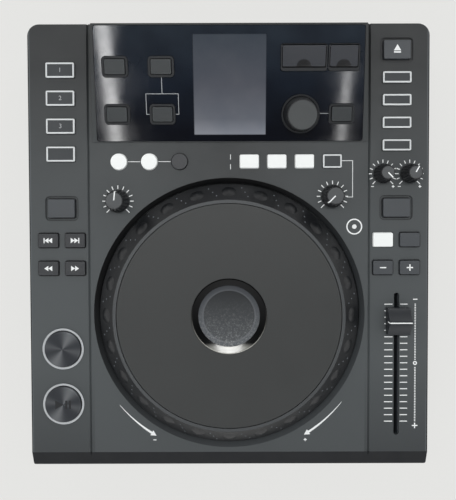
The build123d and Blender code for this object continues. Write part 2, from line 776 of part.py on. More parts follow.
def board_posts():
    """Posts under the corners of the two boards at the rear."""
    places = []
    for span_x, span_y in (
        (main_board_x, main_board_y),
        (supply_board_x, supply_board_y),
    ):
        for x in (span_x[0] + board_inset, span_x[1] - board_inset):
            for y in (span_y[0] + board_inset, span_y[1] - 3 * board_inset):
                places.append((x, y))
    return places


def feet_places():
    return [(sx * foot_x, sy * foot_y) for sx in (-1, 1) for sy in (-1, 1)]


def feet():
    """Four rubber feet, each held by a stub through the floor."""
    made = []
    for x, y in feet_places():
        foot = rod(foot_radius, 0, foot_height)
        foot = chamfer(foot.faces().sort_by(Axis.Z)[0].edges(), 1.5)
        foot += rod(foot_pin_radius, foot_height - 1, case_floor_top)
        made.append(Pos(x, y, 0) * foot)
    return made


def screws():
    """Case screws from below, and the small screws of the drive, bearing plate and rear boards."""
    made = []
    for x, y in case_posts():
        head = cone(screw_head_radius, screw_radius, foot_height, foot_height + wall * 0.6)
        shank = rod(screw_radius, foot_height + wall * 0.5, case_floor_top + screw_length - 1)
        cross = block(3.6, 0.7, foot_height - 1, foot_height + 0.8)
        made.append(Pos(x, y, 0) * (head + shank - cross - Rot(0, 0, 90) * cross))
    for x, y in board_posts():
        top = board_z + board_thickness
        head = rod(small_head_radius, top, top + small_head_height)
        shank = rod(small_screw_radius, case_floor_top + part_gap, top)
        made.append(Pos(x, y, 0) * (head + shank))
    for x, y in bearing_screw_places():
        low = -well_depth - wall - bearing_plate_thickness
        head = rod(small_head_radius, low - small_head_height, low)
        shank = rod(small_screw_radius, low, -well_depth - wall / 2)
        made.append(deck * Pos(x, y, 0) * (head + shank))
    for at, depth in board_bosses():
        low = -depth - board_thickness
        head = rod(small_head_radius, low - small_head_height, low)
        shank = rod(board_screw_radius, low, low + board_screw_length - part_gap)
        made.append(at * (head + shank))
    return made


def bearing_screw_places():
    places = PolarLocations(bearing_screw_circle, 3, start_angle=90)
    return [(p.position.X, p.position.Y + jog_v) for p in places.locations]


def display_panel():
    """The gloss sheet over the display block, cut out round the keys, doors, knob and screen."""
    sheet_form = panel * prism(panel_outline(0), roof_top, 0)
    cutters = panel_collars(part_gap)
    window = block(screen_size[0] + 2 * part_gap, screen_size[1] + 2 * part_gap, -5, 5)
    cutters.append(panel * Pos(screen_x, screen_row, 0) * window)
    return sheet_form - cutters


def screen_module():
    """The display: its glass stands in the panel's window, its frame lies between roof and board."""
    glass = block(screen_size[0], screen_size[1], roof_bottom, -screen_sink)
    margin = 2 * screen_frame_margin
    frame = block(
        screen_size[0] + margin, screen_size[1] + margin, -panel_board_depth, roof_bottom, 1.0
    )
    return panel * Pos(screen_x, screen_row, 0) * (glass + frame)


def knob_shape(shape):
    """A tapered knob with grip ribs and a bore for its shaft, and the shaft below it."""
    base_radius, top_radius, height = shape
    skirt_top = knob_lift + 0.12 * height
    body = rod(base_radius, knob_lift, skirt_top)
    body += cone(base_radius * 0.94, top_radius, skirt_top, height)
    body = chamfer(body.faces().sort_by(Axis.Z)[-1].edges(), 0.5)
    lean = (base_radius * 0.94 - top_radius) / (height - skirt_top)
    reach = base_radius * 0.94 + rib_radius * 0.3
    rib = Rot(0, -degrees(atan(lean)), 0) * Cylinder(rib_radius, height - skirt_top - 1.5)
    middle = (skirt_top + height - 1.5) / 2
    out = reach - lean * (middle - skirt_top)
    body += [Rot(0, 0, 360 * i / knob_ribs) * Pos(out, 0, middle) * rib for i in range(knob_ribs)]
    bore_top = height - 4.0
    body -= rod(knob_shaft_radius, 0, bore_top)
    shaft_low = -deck_board_depth + pot_height - pot_socket
    shaft = rod(knob_shaft_radius, shaft_low, bore_top)
    return [body, shaft]


def select_knob():
    """The menu knob: a ribbed cap that turns on its push shaft."""
    low = -panel_key_rise
    body = cone(select_base_radius, select_top_radius, low + 3, select_height)
    body += rod(select_base_radius, low, low + 3)
    body = fillet(body.faces().sort_by(Axis.Z)[-1].edges(), 0.8)
    body -= rod(knob_shaft_radius + running_gap, low - 1, select_height - 4)
    return panel * Pos(select_x, panel_near_row, 0) * body


def select_plunger():
    """The push shaft that the menu knob turns on."""
    low = -panel_board_depth + encoder_height - pot_socket
    shaft = rod(knob_shaft_radius, low, select_height - 4 - running_gap)
    return panel * Pos(select_x, panel_near_row, 0) * shaft


def door_shape(size):
    """A hinged door with a rounded hinge edge, two stub pins and a scooped finger notch."""
    half = door_thickness / 2
    length = size[1] - hinge_inset
    slab = Pos(0, -hinge_inset / 2, 0) * block(size[0], length, -half, half, key_corner)
    barrel = Rot(0, 90, 0) * Cylinder(half, size[0] - 2 * key_corner)
    door = slab + Pos(0, size[1] / 2 - hinge_inset, 0) * barrel
    pins = Rot(0, 90, 0) * Cylinder(door_pin_radius, size[0] + 2 * (door_pin_length + key_gap))
    door += Pos(0, size[1] / 2 - hinge_inset, 0) * pins
    ball = (scoop_radius**2 + scoop_depth**2) / (2 * scoop_depth)
    door -= Pos(0, -size[1] / 2, half + ball - scoop_depth) * Sphere(ball)
    return Pos(0, 0, door_axis_n) * door


def fader_cap_shape():
    """The fader's cap, with its raised middle ridge, and the blade that runs in the track."""
    half_x, half_v = fader_cap[0] / 2, fader_cap[1] / 2
    ridge = 1.3
    profile = [
        Line((half_v, fader_lift), (half_v, fader_shoulder)),
        ThreePointArc(
            (half_v, fader_shoulder),
            ((half_v + ridge) / 2, fader_shoulder + 0.35 * (fader_ridge - fader_shoulder)),
            (ridge, fader_ridge),
        ),
        Line((ridge, fader_ridge), (-ridge, fader_ridge)),
        ThreePointArc(
            (-ridge, fader_ridge),
            (-(half_v + ridge) / 2, fader_shoulder + 0.35 * (fader_ridge - fader_shoulder)),
            (-half_v, fader_shoulder),
        ),
        Line((-half_v, fader_shoulder), (-half_v, fader_lift)),
        Line((-half_v, fader_lift), (half_v, fader_lift)),
    ]
    side = make_face(Plane.YZ * Curve(profile))
    cap = Pos(-half_x, 0, 0) * extrude(side, 2 * half_x, dir=(1, 0, 0))
    blade_low = -wall - fader_channel_depth + part_gap
    blade = block(fader_blade[0], fader_blade[1], blade_low, fader_lift + 1)
    return cap + blade


def fader_track():
    """The slide potentiometer's channel, fixed under the deck."""
    width, length, height = fader_track_size
    body = block(width, length, -wall - height, -wall, 1.0)
    channel = block(
        fader_blade[0] + 2 * part_gap,
        fader_travel + fader_blade[1] + 2 * fader_channel_end,
        -wall - fader_channel_depth,
        0,
    )
    return deck * Pos(fader_x, fader_v, 0) * (body - channel)


def jog_rim():
    """The wheel: sloping rim with raised finger pads, top ring, web and hub sleeve."""
    web_top = wheel_height - plate_thickness
    web_low = web_top - web_thickness
    step = web_top - axle_cap_thickness - 0.9
    inner = wheel_radius - rim_thickness
    fall = (wheel_radius - rim_top_radius) / (wheel_height - wheel_shoulder)
    inner_top = inner - (web_low - wheel_shoulder) * fall
    points = [
        (axle_radius + running_gap, -wheel_skirt),
        (hub_radius, -wheel_skirt),
        (hub_radius, web_low),
        (inner_top, web_low),
        (inner, wheel_shoulder),
        (inner, -wheel_skirt),
        (wheel_radius, -wheel_skirt),
        (wheel_radius, wheel_shoulder),
        (rim_top_radius, wheel_height),
        (plate_radius + plate_groove, wheel_height),
        (plate_radius + plate_groove, web_top),
        (axle_cap_radius + part_gap, web_top),
        (axle_cap_radius + part_gap, step),
        (axle_radius + running_gap, step),
    ]
    profile = make_face(Polyline(*[(r, 0, w) for r, w in points], close=True))
    wheel = revolve(profile, Axis.Z)
    slope_height = wheel_height - wheel_shoulder
    slope_run = wheel_radius - rim_top_radius
    middle_r = (wheel_radius + rim_top_radius) / 2
    middle_w = (wheel_height + wheel_shoulder) / 2
    length = (slope_height**2 + slope_run**2) ** 0.5
    out_r, out_w = slope_height / length, slope_run / length
    ball = (pad_radius**2 + pad_height**2) / (2 * pad_height)
    pad = Pos(0, 0, pad_height - ball) * Sphere(ball) & rod(pad_radius + 1, -joined, pad_height)
    on_slope = Pos(middle_r, 0, middle_w) * Rot(0, degrees(atan(out_r / out_w)), 0)
    pads = [Rot(0, 0, 360 * i / pad_count) * on_slope * pad for i in range(pad_count)]
    return deck * Pos(0, jog_v, 0) * (wheel + pads)


def jog_plate():
    """The flat touch plate in the middle of the wheel."""
    low = wheel_height - plate_thickness
    plate = rod(plate_radius, low, wheel_height)
    plate -= rod(lens_radius + lens_groove, low - 1, wheel_height + 1)
    return deck * Pos(0, jog_v, 0) * plate


def jog_lens():
    """The dished gloss cap over the wheel's hub."""
    low = wheel_height - plate_thickness
    cap = rod(lens_radius, low, wheel_height)
    cap -= cone(dish_floor_radius, dish_edge_radius, wheel_height - dish_depth, wheel_height)
    return deck * Pos(0, jog_v, 0) * cap


def jog_base():
    """The fixed bearing: plate under the well, axle, thrust washer and the disc that keeps the wheel on."""
    web_top = wheel_height - plate_thickness
    axle_top = web_top - axle_cap_thickness - 0.6
    plate_top = -well_depth - wall
    plate = rod(bearing_plate_radius, plate_top - bearing_plate_thickness, plate_top)
    plate += rod(axle_radius, plate_top - 1, axle_top)
    for x, y in bearing_screw_places():
        plate -= Pos(x, y - jog_v, 0) * rod(small_screw_radius, -4 * wall - well_depth, 0)
    washer = rod(hub_radius - 1, -well_depth, -wheel_skirt - part_gap)
    washer -= rod(axle_radius, -well_depth - 1, 0)
    keeper = rod(axle_cap_radius, axle_top, axle_top + axle_cap_thickness)
    at = deck * Pos(0, jog_v, 0)
    return [at * plate, at * washer, at * keeper]


def circuit_boards():
    """Key boards with their switches and potentiometers, and the main and supply boards."""
    column_half = column_x - seam_x - 3.5
    reach = case_post_x - case_post_radius - part_gap - column_x
    spans = [
        ("deck", left - reach, left + column_half, far_board_v, column_board_far),
        ("deck", left - reach, left + column_half, *near_board_v),
        ("deck", right - column_half, right + reach, right_board_v, column_board_far),
        ("deck", loop_x - row_board_margin[0], light_x + row_board_margin[1], *row_board_v),
        ("panel", -panel_board_half, panel_board_half, *panel_board_t),
    ]
    made = []
    for frame, low_x, high_x, low_v, high_v in spans:
        depth = deck_board_depth if frame == "deck" else panel_board_depth
        board = box_between((low_x, low_v, -depth - board_thickness), (high_x, high_v, -depth))
        for name, place, x, v, size, kind in keys:
            if place == frame and low_x < x < high_x and low_v < v < high_v:
                board += Pos(x, v, 0) * block(switch_side, switch_side, -depth, -depth + switch_height)
        if frame == "deck":
            for name, x, v, shape, pointer in knobs:
                if low_x < x < high_x and low_v < v < high_v:
                    pot = block(pot_side, pot_side, -depth, -depth + pot_height)
                    pot -= rod(knob_shaft_radius + running_gap, -depth + pot_height - pot_socket, 0)
                    board += Pos(x, v, 0) * pot
            if low_x < light_x < high_x and low_v < light_v < high_v:
                board += Pos(light_x, light_v, 0) * rod(light_radius, -depth, 0.2)
        else:
            top = -depth + encoder_height
            encoder = block(encoder_side, encoder_side, -depth, top)
            encoder -= rod(knob_shaft_radius + running_gap, top - pot_socket - 2 * select_travel, top)
            board += Pos(select_x, panel_near_row, 0) * encoder
        board = frames[frame] * board
        for at, boss_depth in board_bosses():
            board -= at * rod(board_screw_radius, -depth - 2 * board_thickness, -depth)
        made.append(board)
    made.append(main_board())
    made.append(supply_board())
    return made


def drilled_board(span_x, span_y):
    """A bare rear board with its screw holes."""
    board = box_between(
        (span_x[0], span_y[0], board_z), (span_x[1], span_y[1], board_z + board_thickness)
    )
    for x, y in board_posts():
        if span_x[0] < x < span_x[1]:
            board -= Pos(x, y, 0) * rod(small_screw_radius, 0, 2 * board_z)
    return board


def main_board():
    """The main board with its processor, memory, converter chips and capacitors."""
    board = drilled_board(main_board_x, main_board_y)
    top = board_z + board_thickness
    near = main_board_y[0]
    for x, y, side_x, side_y in main_chips:
        board += Pos(x, near + y, 0) * block(side_x, side_y, top, top + chip_height)
    radius, height = capacitor_size
    for x, y in main_capacitors:
        board += Pos(x, near + y, 0) * rod(radius, top, top + height)
    return board


def supply_board():
    """The mains supply board with its transformer, heat sink and smoothing capacitors."""
    board = drilled_board(supply_board_x, supply_board_y)
    top = board_z + board_thickness
    near = supply_board_y[0]
    x, y, side_x, side_y, height = transformer
    board += Pos(x, near + y, 0) * block(side_x, side_y, top, top + height, 1.0)
    x, y, side_x, side_y, height = heat_sink
    board += Pos(x, near + y, 0) * block(side_x, side_y, top, top + height)
    radius, height = supply_capacitor_size
    for x, y in supply_capacitors:
        board += Pos(x, near + y, 0) * rod(radius, top, top + height)
    return board


def connectors():
    """Line and digital output jacks, computer port, mains inlet, and the two sockets under the doors."""
    made = []
    inner_y = case_rear_y - wall
    top = board_z + board_thickness
    for x in jack_x:
        width, depth, height = jack_block
        low = (x - width / 2, inner_y - depth, connector_z - height / 2)
        jack = box_between(low, (x + width / 2, inner_y, connector_z + height / 2))
        legs = box_between((x - 3, inner_y - depth, top), (x + 3, inner_y - 4, low[2] + 1))
        barrel = rear_hole(x, rod(jack_root_radius, -wall / 2 - 1, wall / 2))
        barrel += rear_hole(x, rod(jack_barrel_radius, 0, wall / 2 + jack_barrel_length))
        bore = rear_hole(
            x, rod(jack_bore_radius, wall / 2 + jack_barrel_length - 9.0, 2 * jack_barrel_length)
        )
        made.append(jack + legs + barrel - bore)

    width, depth, height = usb_b_size
    port = box_between(
        (usb_b_x - width / 2, case_rear_y - depth, connector_z - height / 2),
        (usb_b_x + width / 2, case_rear_y + 0.5, connector_z + height / 2),
    )
    port += box_between(
        (usb_b_x - 4, case_rear_y - depth, top), (usb_b_x + 4, inner_y - 1, connector_z)
    )
    cavity = box_between(
        (usb_b_x - usb_b_cavity[0] / 2, case_rear_y - usb_b_cavity[2], connector_z - usb_b_cavity[1] / 2),
        (usb_b_x + usb_b_cavity[0] / 2, case_rear_y + 1, connector_z + usb_b_cavity[1] / 2),
    )
    tongue = box_between(
        (usb_b_x - 2.8, case_rear_y - usb_b_cavity[2] - 1, connector_z - 1.6),
        (usb_b_x + 2.8, case_rear_y - 1, connector_z + 1.6),
    )
    made.append(port - cavity + tongue)

    inlet = rear_hole(
        inlet_x, block(inlet_size[0] - part_gap, inlet_size[1] - part_gap, -inlet_depth - 3, wall / 2, 2.0)
    )
    inlet += rear_hole(inlet_x, block(inlet_size[0] + 4, inlet_size[1] + 4, wall / 2, wall / 2 + 1.2, 2.5))
    inlet += box_between(
        (inlet_x - 6, inner_y - inlet_depth, top), (inlet_x + 6, inner_y - 5, connector_z - 4)
    )
    hollow = rear_hole(
        inlet_x, prism(SlotOverall(inlet_cavity[0], inlet_cavity[1]), wall - inlet_depth, 2 * wall)
    )
    inlet -= hollow
    for side in (-1, 1):
        pin = rod(inlet_pin_radius, wall - inlet_depth - 1, 0)
        inlet += rear_hole(inlet_x + side * inlet_pin_pitch / 2, pin)
    made.append(inlet)

    for name, x, size in doors:
        width, thickness = socket_sizes()[name]
        at = panel * Pos(x, door_row, 0)
        shell = block(width, thickness, -panel_board_depth, -door_well_depth + 0.6)
        if name == "card_door":
            shell -= block(width - 2.6, 2.4, -panel_board_depth + 1, 0)
        else:
            shell -= block(width - 0.9, thickness - 0.9, -panel_board_depth + 1, 0)
            tongue = block(width - 2.2, 1.9, -panel_board_depth + 0.5, -door_well_depth)
            shell += Pos(0, thickness / 2 - 1.8, 0) * tongue
        made.append(at * shell)
    made.append(rocker_housing())
    return made


def power_rocker():
    """The rear power switch's rocker, a shallow V that tips about a pin across its middle."""
    width, height = rocker_size
    ends, middle = rocker_proud
    reach = height / 2 - 1
    outline = Polyline(
        (0, -reach, -rocker_pin_depth - 1),
        (0, reach, -rocker_pin_depth - 1),
        (0, reach, ends),
        (0, 0, middle),
        (0, -reach, ends),
        close=True,
    )
    face = Pos(-width / 2, 0, 0) * extrude(make_face(outline), width, dir=(1, 0, 0))
    pin = Rot(0, 90, 0) * Cylinder(rocker_pin_radius, width + 2 * (part_gap + rocker_wall))
    rocker = Pos(0, 0, rocker_pin_depth) * face + pin
    tipped = Pos(0, 0, wall / 2 - rocker_pin_depth) * Rot(rocker_throw / 2, 0, 0) * rocker
    return rear_hole(rocker_x, tipped)


def rocker_housing():
    """The power switch's housing behind the rear wall, which carries the rocker's pin."""
    width = rocker_size[0] + 2 * part_gap
    height = rocker_size[1] + 2 * part_gap
    back = -wall / 2 - rocker_depth
    housing = block(width + 2 * rocker_wall, height + 2 * rocker_wall, back, -wall / 2)
    housing -= block(width, height, back + rocker_wall, 0)
    pin = Rot(0, 90, 0) * Cylinder(rocker_pin_radius + running_gap, 2 * width)
    housing -= Pos(0, 0, wall / 2 - rocker_pin_depth) * pin
    return rear_hole(rocker_x, housing)


def disc_drive_frame():
    """The slot drive's sheet steel box, with its sled rails and spindle motor."""
    low = (-drive_half_width, drive_front_y, drive_floor_z)
    high = (drive_half_width, drive_front_y + drive_length, drive_roof_z)
    box = box_between(low, high)
    inside = box_between(
        (low[0] + sheet, low[1] - 1, low[2] + sheet), (high[0] - sheet, high[1] - sheet, high[2] - sheet)
    )
    box -= inside
    journal = Rot(0, 90, 0) * Cylinder(journal_radius + running_gap, 3 * drive_half_width)
    box -= Pos(0, drive_front_y + roller_offset, roller_z()) * journal
    rails = []
    floor_top = drive_floor_z + sheet
    rail_z = floor_top + rail_rise
    rail_end = drive_front_y + drive_length - sheet
    rail_start = spindle_y + motor_radius + 1.0
    for side in (-1, 1):
        x = side * rail_x
        rail = Rot(90, 0, 0) * Cylinder(rail_radius, rail_end - rail_start)
        rails.append(Pos(x, (rail_start + rail_end) / 2, rail_z) * rail)
        near = box_between((x - 3, rail_start - 2, floor_top), (x + 3, rail_start, rail_z + 3))
        rails.append(near)
    motor = Pos(0, spindle_y, 0) * rod(motor_radius, floor_top, floor_top + motor_height)
    motor -= Pos(0, spindle_y, 0) * rod(rotor_shaft_radius + running_gap, floor_top + 2, drive_roof_z)
    return box + rails + motor


def roller_z():
    """Height of the feed roller's axis: its rubber just clears the disc's path."""
    return disc_height - slot_size[1] / 2 - part_gap - roller_radius


def feed_roller():
    """The rubber roller that draws the disc in, on two journals in the drive's sides."""
    body = Cylinder(roller_radius, 2 * roller_half_length)
    journals = Cylinder(journal_radius, 2 * drive_half_width + 2 * sheet)
    return Pos(0, drive_front_y + roller_offset, roller_z()) * Rot(0, 90, 0) * (body + journals)


def disc_turntable():
    """The turntable with the cone that centres the disc, on the spindle motor's shaft."""
    top = disc_height - slot_size[1] / 2
    floor_top = drive_floor_z + sheet
    table = rod(turntable_radius, top - 2.0, top)
    table += rod(spindle_radius, top - 1, top + spindle_rise)
    table = fillet(table.faces().sort_by(Axis.Z)[-1].edges(), 0.8)
    table += rod(rotor_shaft_radius, floor_top + 3, top - 1)
    return Pos(0, spindle_y, 0) * table


def pickup_sled():
    """The laser head's sled, which runs on the two rails."""
    width, length, height = sled_size
    floor_top = drive_floor_z + sheet
    rail_z = floor_top + rail_rise
    sled = block(width, length, rail_z - height / 2, rail_z + height / 2, 1.5)
    for side in (-1, 1):
        hole = Rot(90, 0, 0) * Cylinder(rail_radius + running_gap, 2 * length)
        sled -= Pos(side * rail_x, 0, rail_z) * hole
    sled += rod(laser_radius, rail_z, rail_z + height / 2 + 2.0)
    return Pos(0, spindle_y + sled_start, 0) * sled


def write(name, solids):
    """Writes one node, from one solid or a group of separate ones."""
    group = solids if isinstance(solids, list) else [solids]
    export_step(Compound(children=[s for part in group for s in part.solids()]), f"parts/{name}.step")


def build():
    """Builds every node and writes its file."""
    write("top_cover", top_cover())
    write("lower_case", lower_case())
    write("feet", feet())
    write("screws", screws())
    write("display_panel", display_panel())
    write("screen_module", screen_module())
    for name, frame, x, v, size, kind in keys:
        write(name, frames[frame] * Pos(x, v, 0) * key_shape(size, kind))
    for name, x, v, shape, pointer in knobs:
        place = deck * Pos(x, v, 0) * Rot(0, 0, -pointer)
        write(name, [place * piece for piece in knob_shape(shape)])
    write("select_knob", select_knob())
    write("select_plunger", select_plunger())
    for name, x, size in doors:
        write(name, panel * Pos(x, door_row, 0) * door_shape(size))
    write("pitch_fader_cap", deck * Pos(fader_x, fader_v + fader_rest, 0) * fader_cap_shape())
    write("fader_track", fader_track())
    write("jog_rim", jog_rim())
    write("jog_plate", jog_plate())
    write("jog_lens", jog_lens())
    write("jog_base", jog_base())
    write("circuit_boards", circuit_boards())
    write("connectors", connectors())
    write("power_rocker", power_rocker())
    write("disc_drive_frame", disc_drive_frame())
    write("feed_roller", feed_roller())
    write("disc_turntable", disc_turntable())
    write("pickup_sled", pickup_sled())


build()
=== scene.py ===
# %% [markdown]
# # A tabletop disc player, from bare solids to a finished scene
# The solids of the player are already made and can move: case, keys, knobs, wheel, fader and drive.
# This file gives them their plastics, paints the marks on them, adds the small trims that are too thin for
# the solids, and sets up the light and the camera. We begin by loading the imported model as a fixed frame.

# %% Load the frame
from math import atan2, cos, degrees, radians, sin

import bmesh
import bpy
from mathutils import Matrix, Vector


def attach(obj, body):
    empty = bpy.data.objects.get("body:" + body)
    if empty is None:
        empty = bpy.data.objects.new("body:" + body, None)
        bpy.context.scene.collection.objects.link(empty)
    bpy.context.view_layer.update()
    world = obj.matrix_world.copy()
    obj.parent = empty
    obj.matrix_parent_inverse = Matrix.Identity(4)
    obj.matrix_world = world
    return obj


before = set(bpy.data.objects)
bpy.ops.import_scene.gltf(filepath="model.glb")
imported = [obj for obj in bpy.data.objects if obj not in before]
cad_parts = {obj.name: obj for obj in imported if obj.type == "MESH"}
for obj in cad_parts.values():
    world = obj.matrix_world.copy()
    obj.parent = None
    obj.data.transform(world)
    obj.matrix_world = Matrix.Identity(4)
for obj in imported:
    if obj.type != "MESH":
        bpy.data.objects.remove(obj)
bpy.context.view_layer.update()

# %% [markdown]
# ## Tilted drawing boards
# Nearly everything we add lies on the sloping deck or on the display block, which slopes a little more.
# We could rotate each piece by eye. It is easier to keep one matrix for each surface: a piece is drawn flat,
# in millimetres, and the matrix carries it to its place in metres. Its w axis points out of the surface.
# The rear wall, with its sockets, gets a third board.

# %% Frames of the deck and of the display panel
mm = 0.001
deck_tilt = radians(3.0)
block_tilt = radians(13.0)
crease = (0.0, -159.7, 70.0734)
block_corner = (0.8, 241.3, 0.8)
jack_row = (0.0, 163.0, 34.0)
bevel_line = -1.4
left_column, right_column = -130.0, 130.0
wheel_place = (0.0, 108.0)
select_place = (54.2, 21.1)
cue_v, play_v = 80.4, 37.0

deck_frame = Matrix.Scale(mm, 4) @ Matrix.Translation(crease) @ Matrix.Rotation(deck_tilt, 4, "X")
panel_frame = deck_frame @ Matrix.Translation(block_corner) @ Matrix.Rotation(block_tilt, 4, "X")
rear_frame = Matrix.Scale(mm, 4) @ Matrix.Translation(jack_row) @ Matrix.Rotation(radians(-90), 4, "X")


def at(board, u, v, w=0.0, turn=0.0):
    """The frame of one piece: its place on a board, turned by some degrees about the board's normal."""
    return board @ Matrix.Translation((u, v, w)) @ Matrix.Rotation(radians(turn), 4, "Z")


def put(name, data):
    """A new object in the scene, from a mesh, a lamp, a curve or a camera."""
    thing = bpy.data.objects.new(name, data)
    bpy.context.scene.collection.objects.link(thing)
    return thing


print("the deck's rows start at:", tuple(round(c, 4) for c in deck_frame.to_translation()))

# %% [markdown]
# ## Camera
# The camera looks straight down on the deck from a little over 40 cm, with a slight lean. So close, it shows
# the sides of the knobs leaning outward. It is placed in the deck's frame too, so that its numbers read as
# distances from the deck.

# %% Camera over the deck
camera_place = (6.08, 185.5, 422.1)
camera_lean = -0.0248
camera_roll = -0.0027
camera_data = bpy.data.cameras.new("camera_over_deck")
camera_data.sensor_width = 36.0
camera_data.lens = 39.05
camera_data.shift_x = -0.0176
camera_data.shift_y = -0.045
camera_data.clip_start = 0.01
camera = put("camera_over_deck", camera_data)
pose = (
    deck_frame
    @ Matrix.Translation(camera_place)
    @ Matrix.Rotation(camera_roll, 4, "Z")
    @ Matrix.Rotation(camera_lean, 4, "X")
)
camera.matrix_world = Matrix.Translation(pose.to_translation()) @ pose.to_3x3().normalized().to_4x4()
bpy.context.scene.camera = camera
print("camera at", tuple(round(c, 3) for c in camera.location))

# %% [markdown]
# ## Light and floor
# A plain studio: a pale floor, a world that is bright near the horizon like white walls and darker overhead,
# two long soft boxes over the left and right of the deck, a wide one behind it and a weak one in front. The
# soft boxes are what the gloss panel and the wheel's centre mirror as bright streaks, so their places matter
# more than their power.

# %% World, soft boxes and floor
bpy.context.scene.view_settings.view_transform = "Standard"
world = bpy.data.worlds.new("studio")
bpy.context.scene.world = world
world.use_nodes = True
sky = world.node_tree.nodes
join = world.node_tree.links.new
direction = sky.new("ShaderNodeTexCoord")
split = sky.new("ShaderNodeSeparateXYZ")
height = sky.new("ShaderNodeMapRange")
for label, value in (("From Min", 0.30), ("From Max", 0.90), ("To Min", 1.14), ("To Max", 0.08)):
    height.inputs[label].default_value = value
join(direction.outputs["Generated"], split.inputs[0])
join(split.outputs["Z"], height.inputs["Value"])
join(height.outputs["Result"], sky["Background"].inputs["Color"])


def soft_box(name, place, tilt, width, length, power):
    """A rectangular lamp that looks down, tilted in degrees about the row's X and Y axes."""
    lamp_data = bpy.data.lights.new(name, "AREA")
    lamp_data.shape = "RECTANGLE"
    lamp_data.size = width
    lamp_data.size_y = length
    lamp_data.energy = power
    lamp = put(name, lamp_data)
    lamp.location = place
    lamp.rotation_euler = (radians(tilt[0]), radians(tilt[1]), 0.0)


soft_box("box_left", (-0.385, -0.42, 1.35), (0, -17), 0.038, 0.84, 1.1)
soft_box("box_right", (0.345, -0.47, 1.35), (0, 14), 0.024, 0.62, 0.33)
soft_box("box_rear", (0.0, 0.29, 1.35), (-15, 0), 1.5, 0.13, 6.2)
soft_box("box_front", (-0.15, -0.95, 0.75), (52, 0), 1.0, 0.4, 0.5)

floor_mesh = bpy.data.meshes.new("floor")
floor_reach = 6.0
bm = bmesh.new()
bmesh.ops.create_grid(bm, x_segments=1, y_segments=1, size=floor_reach)
bm.to_mesh(floor_mesh)
bm.free()
floor = put("floor", floor_mesh)
print("lamps:", [lamp.name for lamp in bpy.data.lights])

# %% [markdown]
# ## Colours
# Colours are easiest to read as the 0 to 255 numbers of a paint program, but Blender's sockets want linear
# light. A small function turns one into the other, and nearly every colour below goes through it.


# %% Paint numbers to linear light
def paint(red, green, blue):
    """A linear colour with alpha, from paint numbers between 0 and 255."""
    linear = []
    for part in (red, green, blue):
        share = part / 255
        linear.append(share / 12.92 if share <= 0.04045 else ((share + 0.055) / 1.055) ** 2.4)
    return (*linear, 1.0)


def grey(value):
    """A plain number as a colour, for ramps that drive a roughness or a mask."""
    return (value, value, value, 1.0)


print("mid grey:", tuple(round(part, 3) for part in paint(128, 128, 128)))

# %% [markdown]
# ## Helpers for node trees
# Each finish is a tree of small nodes: a texture, a sum, a mix of two colours. Set up one by one they would
# fill pages, so each helper makes one kind of node, feeds its inputs and hands back its output.


# %% Node helpers
def new_group(name, sockets_in, sockets_out):
    """An empty shader group with named sockets, and its input and output nodes."""
    group = bpy.data.node_groups.new(name, "ShaderNodeTree")
    for label, kind, value in sockets_in:
        socket = group.interface.new_socket(label, in_out="INPUT", socket_type=kind)
        if value is not None:
            socket.default_value = value
    for label, kind in sockets_out:
        group.interface.new_socket(label, in_out="OUTPUT", socket_type=kind)
    return group, group.nodes.new("NodeGroupInput"), group.nodes.new("NodeGroupOutput")


def feed(tree, slot, value):
    """Give an input socket a constant, or link it to an output socket."""
    if isinstance(value, (int, float, tuple)):
        slot.default_value = value
    else:
        tree.links.new(value, slot)


def noise(tree, vector, scale, detail=2.0, roughness=0.5):
    """The value of a noise texture, read at a vector."""
    node = tree.nodes.new("ShaderNodeTexNoise")
    for label, value in (("Vector", vector), ("Scale", scale), ("Detail", detail), ("Roughness", roughness)):
        feed(tree, node.inputs[label], value)
    return node.outputs["Fac"]


def maths(tree, operation, first, second, clamp=False):
    """A math node whose two inputs are sockets or numbers."""
    node = tree.nodes.new("ShaderNodeMath")
    node.operation = operation
    node.use_clamp = clamp
    for slot, value in zip(node.inputs, (first, second)):
        feed(tree, slot, value)
    return node.outputs[0]


def times(tree, first, second):
    """The product of two sockets or numbers."""
    return maths(tree, "MULTIPLY", first, second)


def mix(tree, factor, first, second, blend="MIX"):
    """A colour mix node whose inputs are sockets or values."""
    node = tree.nodes.new("ShaderNodeMix")
    node.data_type = "RGBA"
    node.blend_type = blend
    for label, value in (("Factor_Float", factor), ("A_Color", first), ("B_Color", second)):
        feed(tree, next(s for s in node.inputs if s.identifier == label), value)
    return next(s for s in node.outputs if s.identifier == "Result_Color")


def rise(tree, value, start, end):
    """A number that goes from 0 where the value is at its start to 1 where it is at its end."""
    return maths(tree, "DIVIDE", maths(tree, "SUBTRACT", value, start), end - start, clamp=True)


def axes(tree, vector):
    """The three numbers of a vector."""
    node = tree.nodes.new("ShaderNodeSeparateXYZ")
    tree.links.new(vector, node.inputs[0])
    return node.outputs["X"], node.outputs["Y"], node.outputs["Z"]


print("node helpers ready")

# %% [markdown]
# ## The moulded surface, shared by every plastic
# Moulded plastic is never one flat colour. Its skin has a fine grain from the mould and faint clouds of
# tone, and handling leaves it a little shinier in places. One node group makes all three from noise, so that
# every plastic here can use it with its own numbers. The shader stays outside.

